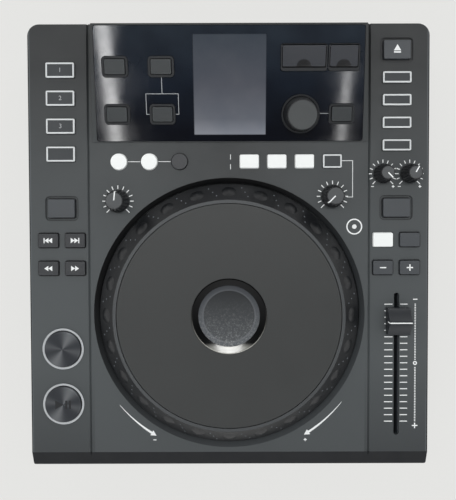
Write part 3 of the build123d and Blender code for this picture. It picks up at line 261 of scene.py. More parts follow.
# %% Node group: moulded skin
moulded, skin_in, skin_out = new_group(
    "moulded_skin",
    [
        ("Colour", "NodeSocketColor", (0.1, 0.1, 0.1, 1.0)),
        ("Roughness", "NodeSocketFloat", 0.5),
        ("Grain per metre", "NodeSocketFloat", 2200.0),
        ("Clouds", "NodeSocketFloat", 0.08),
    ],
    [("Colour", "NodeSocketColor"), ("Roughness", "NodeSocketFloat"), ("Height", "NodeSocketFloat")],
)
place = moulded.nodes.new("ShaderNodeTexCoord").outputs["Object"]
grain = noise(moulded, place, skin_in.outputs["Grain per metre"], 1.0)
clouds = noise(moulded, place, 14.0, 4.0, 0.6)
handling = noise(moulded, place, 55.0, 5.0, 0.65)
tone = times(moulded, maths(moulded, "SUBTRACT", clouds, 0.5), skin_in.outputs["Clouds"])
speckle = times(moulded, maths(moulded, "SUBTRACT", grain, 0.5), 0.10)
tone = maths(moulded, "ADD", tone, speckle)
tone = maths(moulded, "ADD", tone, 1.0)
tinted = moulded.nodes.new("ShaderNodeVectorMath")
tinted.operation = "SCALE"
moulded.links.new(skin_in.outputs["Colour"], tinted.inputs[0])
moulded.links.new(tone, tinted.inputs["Scale"])
moulded.links.new(tinted.outputs[0], skin_out.inputs["Colour"])
polish = times(moulded, maths(moulded, "SUBTRACT", handling, 0.5), 0.22)
polish = maths(moulded, "ADD", skin_in.outputs["Roughness"], polish, clamp=True)
moulded.links.new(polish, skin_out.inputs["Roughness"])
moulded.links.new(grain, skin_out.inputs["Height"])
print("group ready:", moulded.name)

# %% [markdown]
# ## A finish from the group
# A finish is a Principled shader fed by the group: tone to Base Color, polish to Roughness and grain through
# a Bump node. What is the same all over the surface, such as coat or glow, is set on the shader itself.


# %% Make a moulded finish
def finish(
    name, colour, roughness, grain_size=2200.0, clouds=0.10, bump=0.00004, coat=0.0, metal=0.0, glow=0.0
):
    """A plastic or metal finish, from paint numbers, whose skin comes from the shared group."""
    colour = paint(*colour)
    material = bpy.data.materials.new(name)
    material.use_nodes = True
    tree = material.node_tree
    shader = tree.nodes["Principled BSDF"]
    skin = tree.nodes.new("ShaderNodeGroup")
    skin.node_tree = moulded
    settings = {"Colour": colour, "Roughness": roughness, "Grain per metre": grain_size, "Clouds": clouds}
    for label, value in settings.items():
        feed(tree, skin.inputs[label], value)
    relief = tree.nodes.new("ShaderNodeBump")
    relief.inputs["Distance"].default_value = bump
    tree.links.new(skin.outputs["Colour"], shader.inputs["Base Color"])
    tree.links.new(skin.outputs["Roughness"], shader.inputs["Roughness"])
    tree.links.new(skin.outputs["Height"], relief.inputs["Height"])
    tree.links.new(relief.outputs["Normal"], shader.inputs["Normal"])
    shader.inputs["Metallic"].default_value = metal
    shader.inputs["Coat Weight"].default_value = coat
    shader.inputs["Coat Roughness"].default_value = 0.06
    if glow:
        shader.inputs["Emission Color"].default_value = colour
        shader.inputs["Emission Strength"].default_value = glow
    material.diffuse_color = colour
    return material


def opened(material):
    """A finish's tree, its shader and the skin's colour that feeds it."""
    tree = material.node_tree
    shader = tree.nodes["Principled BSDF"]
    return tree, shader, shader.inputs["Base Color"].links[0].from_socket


print("finish maker ready")

# %% [markdown]
# ## The plain finishes
# The player is nearly all black and grey plastic, but its keys are paler than its knobs, and the wheel's rim
# is darker than its plate. So each kind of piece gets its own tone, polish and size of grain.

# %% Plain finishes
deck_plastic = finish("deck_plastic", (82, 87, 89), 0.5)
case_plastic = finish("case_plastic", (44, 47, 50), 0.55, 1500.0, bump=0.00008)
key_plastic = finish("key_plastic", (58, 60, 63), 0.45)
pale_key_plastic = finish("pale_key_plastic", (74, 78, 82), 0.45)
panel_key_plastic = finish("panel_key_plastic", (57, 61, 63), 0.42)
framed_key_plastic = finish("framed_key_plastic", (58, 62, 65), 0.5)
lit_key_plastic = finish("lit_key_plastic", (236, 239, 238), 0.4, 900.0, clouds=0.05, glow=0.22)
door_plastic = finish("door_plastic", (50, 53, 59), 0.4)
knob_plastic = finish("knob_plastic", (26, 28, 31), 0.42)
rim_plastic = finish("rim_plastic", (18, 20, 23), 0.34, 1300.0, bump=0.0001)
plate_plastic = finish("plate_plastic", (58, 60, 60), 0.48, 1800.0, clouds=0.12)
ring_plastic = finish("ring_plastic", (74, 77, 79), 0.4, 1800.0)
fader_plastic = finish("fader_plastic", (33, 37, 42), 0.38)
dark_plastic = finish("dark_plastic", (12, 13, 15), 0.5)
# The fader's slot floor is paler than its own tone: painted light in the shaded slot.
track_plastic = finish("track_plastic", (64, 69, 74), 0.5)
foot_rubber = finish("foot_rubber", (24, 24, 25), 0.85, 900.0, bump=0.0002)
board_green = finish("board_green", (16, 66, 34), 0.4)
screw_steel = finish("screw_steel", (150, 152, 155), 0.35, metal=1.0)
drive_steel = finish("drive_steel", (168, 170, 172), 0.4, 700.0, metal=1.0)
nickel = finish("nickel", (205, 204, 200), 0.22, metal=1.0)
# The white print also glows a little: painted light that keeps the thin ticks and lines bright.
print_white = finish("print_white", (232, 235, 235), 0.55, clouds=0.05, glow=0.20)
print_grey = finish("print_grey", (180, 183, 185), 0.55)
# Painted shade for the gaps round the keys and the edges of their pockets.
painted_gap_shade = finish("painted_gap_shade", (34, 36, 39), 0.6)
pip_grey = finish("pip_grey", (112, 118, 124), 0.4)
knob_top_plastic = finish("knob_top_plastic", (76, 79, 81), 0.36, 900.0, clouds=0.2)
select_top_plastic = finish("select_top_plastic", (76, 79, 80), 0.4, 900.0, clouds=0.35)
ring_silver = finish("ring_silver", (196, 200, 203), 0.3, clouds=0.05, glow=0.05)
print("finishes:", len(bpy.data.materials))

# %% [markdown]
# ## A floor that stays pale
# The floor is painted like the rest. Seen by the camera, or mirrored in something glossy, it also glows a
# little, which keeps the background pale and the shadow round the feet faint. The player gets no more light.

# %% Floor finish
floor_paint = finish("floor_paint", (226, 226, 223), 0.7, 300.0, clouds=0.03)
tree, shader, _ = opened(floor_paint)
glow = tree.nodes.new("ShaderNodeEmission")
glow.inputs["Color"].default_value = paint(233, 233, 231)
seen = tree.nodes.new("ShaderNodeLightPath")
blend = tree.nodes.new("ShaderNodeMixShader")
output = next(node for node in tree.nodes if node.type == "OUTPUT_MATERIAL")
mirrored = maths(tree, "MAXIMUM", seen.outputs["Is Glossy Ray"], seen.outputs["Is Transmission Ray"])
seen_at_all = maths(tree, "MAXIMUM", seen.outputs["Is Camera Ray"], mirrored)
for slot, value in zip(blend.inputs, (times(tree, seen_at_all, 0.86), shader.outputs[0], glow.outputs[0])):
    tree.links.new(value, slot)
tree.links.new(blend.outputs[0], output.inputs["Surface"])
floor_mesh.materials.append(floor_paint)
print("floor:", floor_paint.name)

# %% [markdown]
# ## Finishes that follow the deck
# Some looks depend on where a point lies: the wheel's centre has rings and a painted reflection, the round
# keys have a painted turned sheen, and the screen is lit from its lower edge. A Mapping node of the Texture
# kind undoes a board's matrix, so that the shader reads millimetres on that board. Both round keys have the
# same sheen, so it is a group.


# %% Board coordinates, and the node group of the painted turned sheen
def on_board(tree, origin_mm=(0.0, 0.0, 0.0), tilt=deck_tilt):
    """Millimetre coordinates on a board whose origin, in the deck's own frame, and tilt are given."""
    mapping = tree.nodes.new("ShaderNodeMapping")
    mapping.vector_type = "TEXTURE"
    mapping.inputs["Location"].default_value = deck_frame @ Vector(origin_mm)
    mapping.inputs["Rotation"].default_value = (tilt, 0.0, 0.0)
    mapping.inputs["Scale"].default_value = (mm, mm, mm)
    tree.links.new(tree.nodes.new("ShaderNodeTexCoord").outputs["Object"], mapping.inputs["Vector"])
    return mapping.outputs["Vector"]


def on_block_top(tree):
    """Millimetre coordinates on the display block."""
    return on_board(tree, block_corner, deck_tilt + block_tilt)


turned, turned_in, turned_out = new_group(
    "turned_sheen",
    [("Vector", "NodeSocketVector", None), ("Phase", "NodeSocketFloat", 0.0)],
    [("Sheen", "NodeSocketFloat"), ("Height", "NodeSocketFloat")],
)
x, y, _ = axes(turned, turned_in.outputs["Vector"])
angle = maths(turned, "ARCTAN2", y, x)
angle = maths(turned, "ADD", times(turned, angle, 2.0), turned_in.outputs["Phase"])


def sector(angle, sharpness):
    """A pair of painted highlight sectors, opposite each other: narrower as the sharpness grows."""
    wave = times(turned, maths(turned, "COSINE", angle, 0.0), 0.5)
    return maths(turned, "POWER", maths(turned, "ADD", wave, 0.5), sharpness)


wide = sector(angle, 5.0)
narrow = times(turned, sector(maths(turned, "ADD", angle, radians(150)), 14.0), 0.5)
turned.links.new(maths(turned, "ADD", wide, narrow, clamp=True), turned_out.inputs["Sheen"])
grooves = turned.nodes.new("ShaderNodeTexWave")
grooves.wave_type = "RINGS"
grooves.rings_direction = "Z"
grooves.inputs["Scale"].default_value = 1.6
grooves.inputs["Distortion"].default_value = 0.4
turned.links.new(turned_in.outputs["Vector"], grooves.inputs["Vector"])
turned.links.new(grooves.outputs["Fac"], turned_out.inputs["Height"])
print("groups:", [group.name for group in bpy.data.node_groups])


# %% [markdown]
# Several finishes change along a direction or with noise. A colour ramp says how in one list of stops, which
# are colours, or greys that stand for numbers.


# %% Ramp helper
def ramp(tree, factor, stops):
    """A colour ramp: a list of (position, colour) read at a factor."""
    node = tree.nodes.new("ShaderNodeValToRGB")
    while len(node.color_ramp.elements) < len(stops):
        node.color_ramp.elements.new(0.5)
    for element, (position, colour) in zip(node.color_ramp.elements, stops):
        element.position = position
        element.color = colour
    tree.links.new(factor, node.inputs["Fac"])
    return node.outputs["Color"]


# %% [markdown]
# ## The round keys, the wheel's centre and the screen
# The round keys carry the turned sheen as a painted highlight in their colour: a wide pair of bright sectors
# crossed by a narrow one, like the sheen of metal paint over fine rings. The wheel's centre is a dish of
# gloss plastic, which hands have scuffed.


# %% Turned finish for the round keys, with a painted sheen
def turned_finish(name, centre_v, dark=(60, 63, 68), light=(114, 117, 120)):
    """A metallic paint with a painted conic sheen in its colour, round a point on the deck's left column."""
    material = finish(name, dark, 0.36, bump=0.0)
    tree, shader, _ = opened(material)
    group = tree.nodes.new("ShaderNodeGroup")
    group.node_tree = turned
    group.inputs["Phase"].default_value = radians(-125)
    tree.links.new(on_board(tree, (left_column, centre_v, 0.0)), group.inputs["Vector"])
    # Painted highlight: the sheen sectors mix the dark and light colours.
    painted_sheen_colour = mix(tree, group.outputs["Sheen"], paint(*dark), paint(*light))
    tree.links.new(painted_sheen_colour, shader.inputs["Base Color"])
    relief = next(node for node in tree.nodes if node.type == "BUMP")
    tree.links.new(group.outputs["Height"], relief.inputs["Height"])
    relief.inputs["Distance"].default_value = 0.00002
    shader.inputs["Metallic"].default_value = 0.55
    return material


cue_plastic = turned_finish("cue_key_paint", cue_v)
play_plastic = turned_finish("play_key_paint", play_v)
print("turned finishes:", cue_plastic.name, play_plastic.name)

# %% [markdown]
# The ring printed on the wheel's centre could be a mesh. A print has no thickness, so the finish draws it
# from
# the share of the dish's radius. Noise adds the scuffs. Toward the front the colour carries a painted
# reflection:
# the ring and the scuffs are lifted a little, a pale crescent lies outside the ring, and a thin painted
# highlight runs along the rim.

# %% Lens finish: a printed ring round a scuffed middle, with a painted reflection toward the front
dish_radius = 30.0
print_share, rim_share = 0.78, 0.935
lens_gloss = finish("lens_gloss", (10, 12, 15), 0.16, bump=0.0, coat=0.3)
tree, shader, _ = opened(lens_gloss)
over_dish = on_board(tree, (*wheel_place, 0.0))
x, y, _ = axes(tree, over_dish)
square = maths(tree, "ADD", times(tree, x, x), times(tree, y, y))
share = maths(tree, "DIVIDE", maths(tree, "SQRT", square, 0.0), dish_radius)
ring_stops = [
    (0.0, paint(26, 30, 33)),
    (0.62, paint(26, 30, 33)),
    (0.635, paint(8, 10, 13)),
    (0.65, paint(80, 83, 87)),
    (0.77, paint(68, 71, 75)),
    (0.785, paint(1, 2, 3)),
]
rings = ramp(tree, share, ring_stops)
# Painted light toward the front: the ring is lifted, and the scuffs show pale only there.
toward_front = rise(tree, y, 19.8, -24.2)
specks = ramp(tree, noise(tree, over_dish, 0.7, 12.0, 0.8), [(0.50, grey(0.0)), (0.66, grey(1.0))])
printed = maths(tree, "LESS_THAN", share, print_share)
pale = times(tree, times(tree, specks, maths(tree, "POWER", toward_front, 2.0)), printed)
lit_up = mix(tree, times(tree, toward_front, 0.4), rings, paint(120, 124, 128), "SCREEN")
scuffs_and_painted_light = mix(tree, pale, mix(tree, printed, rings, lit_up), paint(178, 180, 180))
# Painted reflection: a pale crescent outside the ring at the front, and a painted highlight along the rim.
painted_crescent = times(tree, rise(tree, y, -20.5, -23.5), maths(tree, "SUBTRACT", 1.0, printed))
painted_crescent = times(tree, painted_crescent, rise(tree, maths(tree, "ABSOLUTE", x, 0.0), 25.2, 1.2))
painted_rim_highlight = maths(tree, "GREATER_THAN", share, rim_share)
painted_rim_highlight = times(tree, painted_rim_highlight, maths(tree, "POWER", toward_front, 3.0))
with_painted_reflection = mix(tree, maths(tree, "MAXIMUM", painted_crescent, painted_rim_highlight), scuffs_and_painted_light, paint(186, 186, 180))
tree.links.new(with_painted_reflection, shader.inputs["Base Color"])
dullness = ramp(tree, share, [(0.60, grey(0.42)), (print_share, grey(0.10))])
tree.links.new(dullness, shader.inputs["Roughness"])
print("lens finish ready")

# %% [markdown]
# The deck is one moulding. Its colour carries painted shade toward the back, toward the front and behind
# the wheel, and more painted shade on its bevel, which is also duller. Its outer edges carry a painted
# highlight line and a painted shade line, and the collars on the display block are darker plastic. Separate
# materials would need the solid cut up, so masks from the board's coordinates choose the tone instead.

# %% Deck finish: painted shade and edge lines, painted shade on the bevel, black collars on the display block
panel_half_width, panel_front = 99.0, 4.0
column_edge = 105.8
painted_highlight_edge, painted_shade_edge = 153.8, 154.5
tree, shader, skin_colour = opened(deck_plastic)
x, y, _ = axes(tree, on_board(tree))
outward = maths(tree, "ABSOLUTE", x, 0.0)
bevel_mask = maths(tree, "LESS_THAN", y, bevel_line)
block_x, block_y, block_z = axes(tree, on_block_top(tree))
above = maths(tree, "GREATER_THAN", block_z, 0.03)
inside = maths(tree, "LESS_THAN", maths(tree, "ABSOLUTE", block_x, 0.0), panel_half_width)
reached = maths(tree, "GREATER_THAN", block_y, panel_front)
collar_mask = times(tree, above, times(tree, inside, reached))
# Painted shade: darker toward the back, toward the front (more on the side columns) and behind the wheel.
back = times(tree, maths(tree, "POWER", rise(tree, y, 60.0, 300.0), 2.0), 0.72)
columns = maths(tree, "GREATER_THAN", outward, column_edge)
strength = maths(tree, "ADD", times(tree, columns, 0.26), 0.18)
front = times(tree, rise(tree, y, 75.0, 0.0), strength)
middle = times(tree, rise(tree, outward, 80.0, 0.0), rise(tree, y, 150.0, 210.0))
colour = skin_colour
for mask, target in (
    (back, paint(18, 18, 18)),
    (front, paint(11, 15, 20)),
    (times(tree, middle, 0.4), paint(16, 16, 16)),
    # Painted highlight and painted shade lines along the deck's outer edges.
    (maths(tree, "GREATER_THAN", outward, painted_highlight_edge), paint(90, 95, 98)),
    (maths(tree, "GREATER_THAN", outward, painted_shade_edge), paint(26, 28, 31)),
    # Painted shade on the front bevel, as a blue darkening of the skin's tone.
    (bevel_mask, mix(tree, 1.0, skin_colour, paint(56, 64, 76), "MULTIPLY")),
    (collar_mask, paint(30, 33, 37)),
):
    colour = mix(tree, mask, colour, target)
tree.links.new(colour, shader.inputs["Base Color"])
skin_polish = shader.inputs["Roughness"].links[0].from_socket
dulled = maths(tree, "ADD", skin_polish, times(tree, bevel_mask, 0.25), clamp=True)
tree.links.new(dulled, shader.inputs["Roughness"])
print("deck finish ready")

# %% [markdown]
# The chamfer round the wheel's well carries painted light in front on the right and painted shade behind.
# One more lamp would light the keys too, so the finish changes its tone with the angle.

# %% Well finish: on the chamfer round the wheel, painted shade behind and painted light in front on the right
well_plastic = finish("well_plastic", (44, 47, 50), 0.5, 1500.0)
tree, shader, skin_colour = opened(well_plastic)
x, y, _ = axes(tree, on_board(tree, (*wheel_place, 0.0)))
turned_to = maths(tree, "SUBTRACT", times(tree, x, 0.6), y)
turned_to = maths(tree, "ADD", maths(tree, "DIVIDE", turned_to, 190.0), 0.42, clamp=True)
lit_side = mix(tree, 0.6, skin_colour, paint(76, 81, 84))
tree.links.new(mix(tree, turned_to, paint(8, 9, 11), lit_side), shader.inputs["Base Color"])
print("well finish ready")

# %% [markdown]
# Each small door has a finger notch at its near edge. The solid has the notch, and the finish darkens it, as
# the shadow in a deeper scoop would.

# %% Door finish: a painted shadow in each finger notch
notch_v, notch_radius = 55.4, 5.6
tree, shader, skin_colour = opened(door_plastic)
on_block = on_block_top(tree)
notches = 0.0
for notch_u in (55.8, 85.6):
    reach = tree.nodes.new("ShaderNodeVectorMath")
    reach.operation = "DISTANCE"
    reach.inputs[1].default_value = (notch_u, notch_v, 0.3)
    tree.links.new(on_block, reach.inputs[0])
    near = maths(tree, "LESS_THAN", reach.outputs["Value"], notch_radius)
    notches = maths(tree, "MAXIMUM", near, notches)
# Painted shadow in both notches.
painted_notch_shadow = mix(tree, notches, skin_colour, paint(14, 15, 18))
tree.links.new(painted_notch_shadow, shader.inputs["Base Color"])
print("door finish ready")

# %% [markdown]
# The screen's light is strongest at its lower edge, where the lamps of such panels are, and slightly cloudy.
# It is emission and not a pale base colour, so that the screen also reads in the dark.

# %% Screen finish: a lit liquid crystal panel with nothing written on it
screen_glass = finish("screen_glass", (16, 18, 21), 0.16, bump=0.0, coat=0.2)
screen_low, screen_high = 5.8, 78.9
tree, shader, _ = opened(screen_glass)
on_panel = on_block_top(tree)
_, y, _ = axes(tree, on_panel)
backlight = [
    (0.0, paint(138, 142, 150)),
    (0.16, paint(104, 108, 116)),
    (0.5, paint(84, 87, 95)),
    (1.0, paint(64, 71, 79)),
]
lit = ramp(tree, rise(tree, y, screen_low, screen_high), backlight)
cloud = noise(tree, on_panel, 0.03, 3.0)
shade = ramp(tree, cloud, [(0.35, (0.86, 0.87, 0.9, 1.0)), (0.68, (1.08, 1.05, 1.04, 1.0))])
tree.links.new(mix(tree, 1.0, lit, shade, "MULTIPLY"), shader.inputs["Emission Color"])
shader.inputs["Emission Strength"].default_value = 0.85
print("screen finish ready")

# %% [markdown]
# The gloss panel's colour carries a painted reflection, paler and bluer toward its far edge and cloudy,
# and wiping has left smears on it. Noise on the roughness shows the smears only where something bright is
# mirrored, as on real gloss.

# %% Panel finish: black gloss with faint smears and a painted reflection toward its far edge
panel_gloss = finish("panel_gloss", (5, 8, 15), 0.13, bump=0.0, coat=0.35)
tree, shader, _ = opened(panel_gloss)
smears = noise(tree, tree.nodes.new("ShaderNodeTexCoord").outputs["Object"], 30.0, 6.0, 0.7)
wiped = ramp(tree, smears, [(0.35, grey(0.05)), (0.75, grey(0.15))])
tree.links.new(wiped, shader.inputs["Roughness"])
on_panel = on_block_top(tree)
_, y, _ = axes(tree, on_panel)
# Painted reflection: paler and bluer toward the far edge, made cloudy by noise.
up_panel = maths(tree, "DIVIDE", y, 85.0, clamp=True)
painted_reflection_ramp = ramp(tree, up_panel, [(0.1, paint(6, 9, 19)), (0.5, paint(22, 29, 40)), (0.95, paint(36, 43, 52))])
reflection_noise = noise(tree, on_panel, 0.04)
reflection_clouds = ramp(tree, reflection_noise, [(0.3, (0.75, 0.75, 0.78, 1.0)), (0.7, (1.25, 1.25, 1.22, 1.0))])
tree.links.new(mix(tree, 1.0, painted_reflection_ramp, reflection_clouds, "MULTIPLY"), shader.inputs["Base Color"])
print("panel finish ready")

# %% [markdown]
# ## Dressing the solids
# Each solid gets its finish from one of the lists here, and the keys that no list names get the plain key
# plastic. One table is easier to read than a line of code for each solid.

# %% Assign the finishes
cue_keys = ["hot_cue_1", "hot_cue_2", "hot_cue_3", "memory"]
source_keys = ["source_disc", "source_usb", "source_card", "source_midi"]
key_groups = (
    (lit_key_plastic, ["loop_in", "loop_out", "filter", "flanger", "echo", "master_tempo"]),
    (framed_key_plastic, cue_keys + ["hold"] + source_keys),
    (panel_key_plastic, ["text_mode", "tempo", "auto_cue", "lock", "back"]),
    (pale_key_plastic, ["reverse", "eject", "jog_mode", "range", "pitch_bend_down", "pitch_bend_up"]),
    (cue_plastic, ["cue"]),
    (play_plastic, ["play_pause"]),
)
dress = {key + "_button": plastic for plastic, keys in key_groups for key in keys}
for plastic, nodes in (
    (deck_plastic, ["top_cover"]),
    (case_plastic, ["lower_case"]),
    (foot_rubber, ["feet", "feed_roller"]),
    (screw_steel, ["screws"]),
    (panel_gloss, ["display_panel"]),
    (screen_glass, ["screen_module"]),
    (track_plastic, ["fader_track"]),
    (board_green, ["circuit_boards"]),
    (dark_plastic, ["jog_base", "connectors", "disc_turntable", "pickup_sled", "power_rocker"]),
    (drive_steel, ["disc_drive_frame"]),
    (rim_plastic, ["jog_rim"]),
    (plate_plastic, ["jog_plate"]),
    (lens_gloss, ["jog_lens"]),
    (fader_plastic, ["pitch_fader_cap"]),
    (door_plastic, ["card_door", "usb_door"]),
    (knob_plastic, ["jog_tension_knob", "effect_level_knob", "start_time_knob", "stop_time_knob"]),
    (knob_plastic, ["select_knob", "select_plunger"]),
):
    dress.update({node_name: plastic for node_name in nodes})
for node_name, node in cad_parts.items():
    material = dress.get(node_name, key_plastic)
    if not node.data.materials:
        node.data.materials.append(material)
    for index in range(len(node.data.materials)):
        node.data.materials[index] = material
print("dressed:", len(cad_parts), "of which named:", len(set(dress) & set(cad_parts)))

# %% [markdown]
# ## Small modelling tools
# The trims are made of a few kinds of shape. Each tool below adds one of them to a bmesh, flat on its board
# and in millimetres. `new_piece` then places the mesh and makes it ride on a body, so that the marks on a
# moving key move with the key.


# %% Piece maker
def new_piece(name, bm, board, material, body="case", smooth=False):
    """Place a bmesh with a board's matrix, give it its finish and let it ride on a body."""
    bmesh.ops.recalc_face_normals(bm, faces=bm.faces)
    bmesh.ops.transform(bm, matrix=board, verts=bm.verts)
    mesh = bpy.data.meshes.new(name)
    bm.to_mesh(mesh)
    bm.free()
    for polygon in mesh.polygons:
        polygon.use_smooth = smooth
    piece = put(name, mesh)
    mesh.materials.append(material)
    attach(piece, body)
    return piece


print("piece maker ready")


# %% [markdown]
# We could list the corners of every trim, but an operator needs only a size and a place.


# %% Plain shapes on a board
def slab(bm, u, v, width, depth, low, high, turn=0.0):
    """A flat box, centred at (u, v)."""
    place = (
        Matrix.Translation((u, v, (low + high) / 2))
        @ Matrix.Rotation(radians(turn), 4, "Z")
        @ Matrix.Diagonal((width, depth, high - low, 1.0))
    )
    bmesh.ops.create_cube(bm, size=1.0, matrix=place)


def disc(bm, u, v, radius, low, high, segments=32):
    """A flat round plate."""
    place = Matrix.Translation((u, v, (low + high) / 2))
    bmesh.ops.create_cone(
        bm, cap_ends=True, segments=segments, radius1=radius, radius2=radius, depth=high - low, matrix=place
    )


def band(inner, outer, low, high):
    """The profile of a flat ring, as (radius, height) points."""
    return [(inner, low), (outer, low), (outer, high), (inner, high)]


def spun(bm, points, segments=96, start=0.0, sweep=360.0, u=0.0, v=0.0):
    """A profile of (radius, height) points turned about the normal at (u, v)."""
    others = set(bm.verts)
    closed = sweep >= 360.0
    corners = [bm.verts.new((r * cos(radians(start)), r * sin(radians(start)), w)) for r, w in points]
    if closed:
        profile = [bm.edges.new(pair) for pair in zip(corners, corners[1:] + corners[:1])]
    else:
        profile = [bm.faces.new(corners)]
    bmesh.ops.spin(
        bm, geom=profile, axis=(0, 0, 1), angle=radians(sweep), steps=segments, use_merge=closed
    )
    bmesh.ops.translate(bm, verts=list(set(bm.verts) - others), vec=(u, v, 0))


def thicken(bm, faces, height):
    """Give flat faces a thickness."""
    raised = bmesh.ops.extrude_face_region(bm, geom=faces)
    top = [part for part in raised["geom"] if isinstance(part, bmesh.types.BMVert)]
    bmesh.ops.translate(bm, verts=top, vec=(0, 0, height))


def plate_shape(bm, outline, low, high):
    """A flat shape cut to a short outline of (u, v) corners."""
    thicken(bm, [bm.faces.new([bm.verts.new((u, v, low)) for u, v in outline])], high - low)


def stroke(bm, start, end, width, low, high):
    """A straight line of some width between two points."""
    along = Vector(end) - Vector(start)
    middle = (Vector(start) + Vector(end)) / 2
    turn = degrees(atan2(along.y, along.x))
    slab(bm, middle.x, middle.y, along.length, width, low, high, turn)


# %% Rounded frames and numerals
def frame_shape(width, depth, corner, border, low, high):
    """A new bmesh with a rounded frame: its four corners are bevelled, then its middle is cut away."""
    bm = bmesh.new()
    place = Matrix.Translation((0, 0, low)) @ Matrix.Diagonal((width, depth, 1.0, 1.0))
    bmesh.ops.create_grid(bm, x_segments=1, y_segments=1, size=0.5, matrix=place)
    bmesh.ops.bevel(
        bm, geom=list(bm.verts), offset=corner, segments=5, profile=0.5, affect="VERTICES", material=-1
    )
    inner = list(bm.faces)
    bmesh.ops.inset_region(bm, faces=inner, thickness=border, use_boundary=True)
    bmesh.ops.delete(bm, geom=inner, context="FACES_ONLY")
    thicken(bm, list(bm.faces), high - low)
    return bm


def numeral_mesh(bm, text, height, low, thickness=0.05):
    """Plain numerals, made as a curve, turned into a mesh and centred on the board's origin."""
    curve = bpy.data.curves.new("numeral", "FONT")
    curve.body = text
    curve.size = height * 1.4
    curve.align_x = "CENTER"
    curve.align_y = "CENTER"
    curve.extrude = thickness / 2
    holder = put("numeral", curve)
    bpy.context.view_layer.update()
    flat = bpy.data.meshes.new_from_object(holder)
    flat.transform(Matrix.Translation((0, 0, low + thickness / 2)))
    bm.from_mesh(flat)
    bpy.data.objects.remove(holder)
    bpy.data.meshes.remove(flat)


print("shape tools ready")

# %% [markdown]
# ## Marks on the keys
# White shapes stand a few hundredths of a millimetre above each key. Two triangles and a bar make the track
# marks, two triangles the search marks, and so on. They ride on their keys and dip with them.

# %% Icon shapes
key_top = 1.8
mark_low = key_top - 0.02
mark_high = key_top + 0.05
side_step = 10.4
track_v, search_v, pocket_v, eject_v = 165.3, 143.6, 190.2, 311.9


def pointer(tip, length, height):
    """The corners of a triangle that points along u, towards plus when its length is positive."""
    return [(tip, 0), (tip - length, height / 2), (tip - length, -height / 2)]


def key_mark(name, key, u, v, outlines=(), bars=(), material=print_white, low=mark_low, high=mark_high):
    """One mark on one key, from cut outlines and from bars, which are (u, v, width, depth)."""
    bm = bmesh.new()
    for outline in outlines:
        plate_shape(bm, outline, low, high)
    for bar in bars:
        slab(bm, *bar, low, high)
    new_piece(name, bm, at(deck_frame, u, v), material, key + "_button")


sides = ((-1, "back"), (1, "forward"))
for side, way in sides:
    arrows = [pointer(side * 2.6, side * 3.0, 4.1), pointer(side * -0.2, side * 3.0, 4.1)]
    bars = [(side * 3.05, 0, 0.8, 4.1)]
    key_mark(f"track_{way}_mark", f"track_{way}", left_column + side * side_step, track_v, arrows, bars)
for side, way in sides:
    arrows = [pointer(side * 3.1, side * 3.1, 4.1), pointer(0, side * 3.1, 4.1)]
    key_mark(f"search_{way}_mark", f"search_{way}", left_column + side * side_step, search_v, arrows)
minus = [(0, 0, 4.9, 0.9)]
plus = [(0, 0, 4.9, 0.95), (0, 0, 0.95, 4.9)]
key_mark("bend_down_mark", "pitch_bend_down", right_column - side_step, search_v, bars=minus)
key_mark("bend_up_mark", "pitch_bend_up", right_column + side_step, search_v, bars=plus)
upward = [(-2.8, -0.9), (2.8, -0.9), (0, 4.0)]
key_mark("eject_mark", "eject", right_column, eject_v, [upward], [(0, -2.1, 5.4, 1.1)])

# %% [markdown]
# The play key's mark is darker than the key, as if pressed into it. The hot cue keys carry plain numerals.

# %% Play mark and numerals
mark_dark = finish("mark_dark", (30, 33, 36), 0.5)
cue_key_v, cue_key_step = 296.7, 21.5
pause = [(u, 0, 1.7, 6.6) for u in (2.6, 5.4)]
arrows = [pointer(0.4, 6.4, 7.0)]
key_mark("play_mark", "play_pause", left_column, play_v, arrows, pause, mark_dark, 2.38, 2.44)
for number in (1, 2, 3):
    bm = bmesh.new()
    numeral_mesh(bm, str(number), 3.5, 1.49)
    place = at(deck_frame, left_column, cue_key_v - (number - 1) * cue_key_step)
    new_piece(f"numeral_{number}", bm, place, print_grey, f"hot_cue_{number}_button")

# %% [markdown]
# ## Lit borders
# Nine keys have a pale frame round a sunk dark middle. Each frame is a rounded ring that wraps the key's own
# border and has a soft edge.

# %% Frames of the framed keys
frame_glow = finish("frame_glow", (214, 218, 219), 0.4, clouds=0.05, glow=0.1)


def key_frame(key, u, v, width, depth):
    """A pale frame that wraps a key's border, with a bevel so that its edges catch the light."""
    bm = frame_shape(width + 0.06, depth + 0.06, 1.0, 1.15, 0.3, mark_high)
    piece = new_piece(key + "_frame", bm, at(deck_frame, u, v), frame_glow, key + "_button")
    bevel = piece.modifiers.new("soft_edges", "BEVEL")
    bevel.width = 0.2 * mm
    bevel.segments = 2
    bevel.limit_method = "ANGLE"


for index, key in enumerate(cue_keys):
    key_frame(key, left_column, cue_key_v - index * cue_key_step, 21.8, 11.4)
for index, key in enumerate(source_keys):
    key_frame(key, right_column, 290.8 - index * 17.4, 21.8, 8.4)
key_frame("hold", 80.1, 226.3, 14.4, 10.3)
print("frames:", len(cue_keys) + len(source_keys) + 1)

# %% [markdown]
# ## Rings
# Spun rings trim the round things: bright rings round the two big keys, a flat ring on top of the wheel, a
# band on the chamfer of its well, which carries painted light and shade, and the ring round the small lamp
# beside the wheel.

# %% Spun rings
def ring_piece(name, points, segments, board, material, body="case"):
    """A piece that is one spun profile."""
    bm = bmesh.new()
    spun(bm, points, segments)
    new_piece(name, bm, board, material, body)


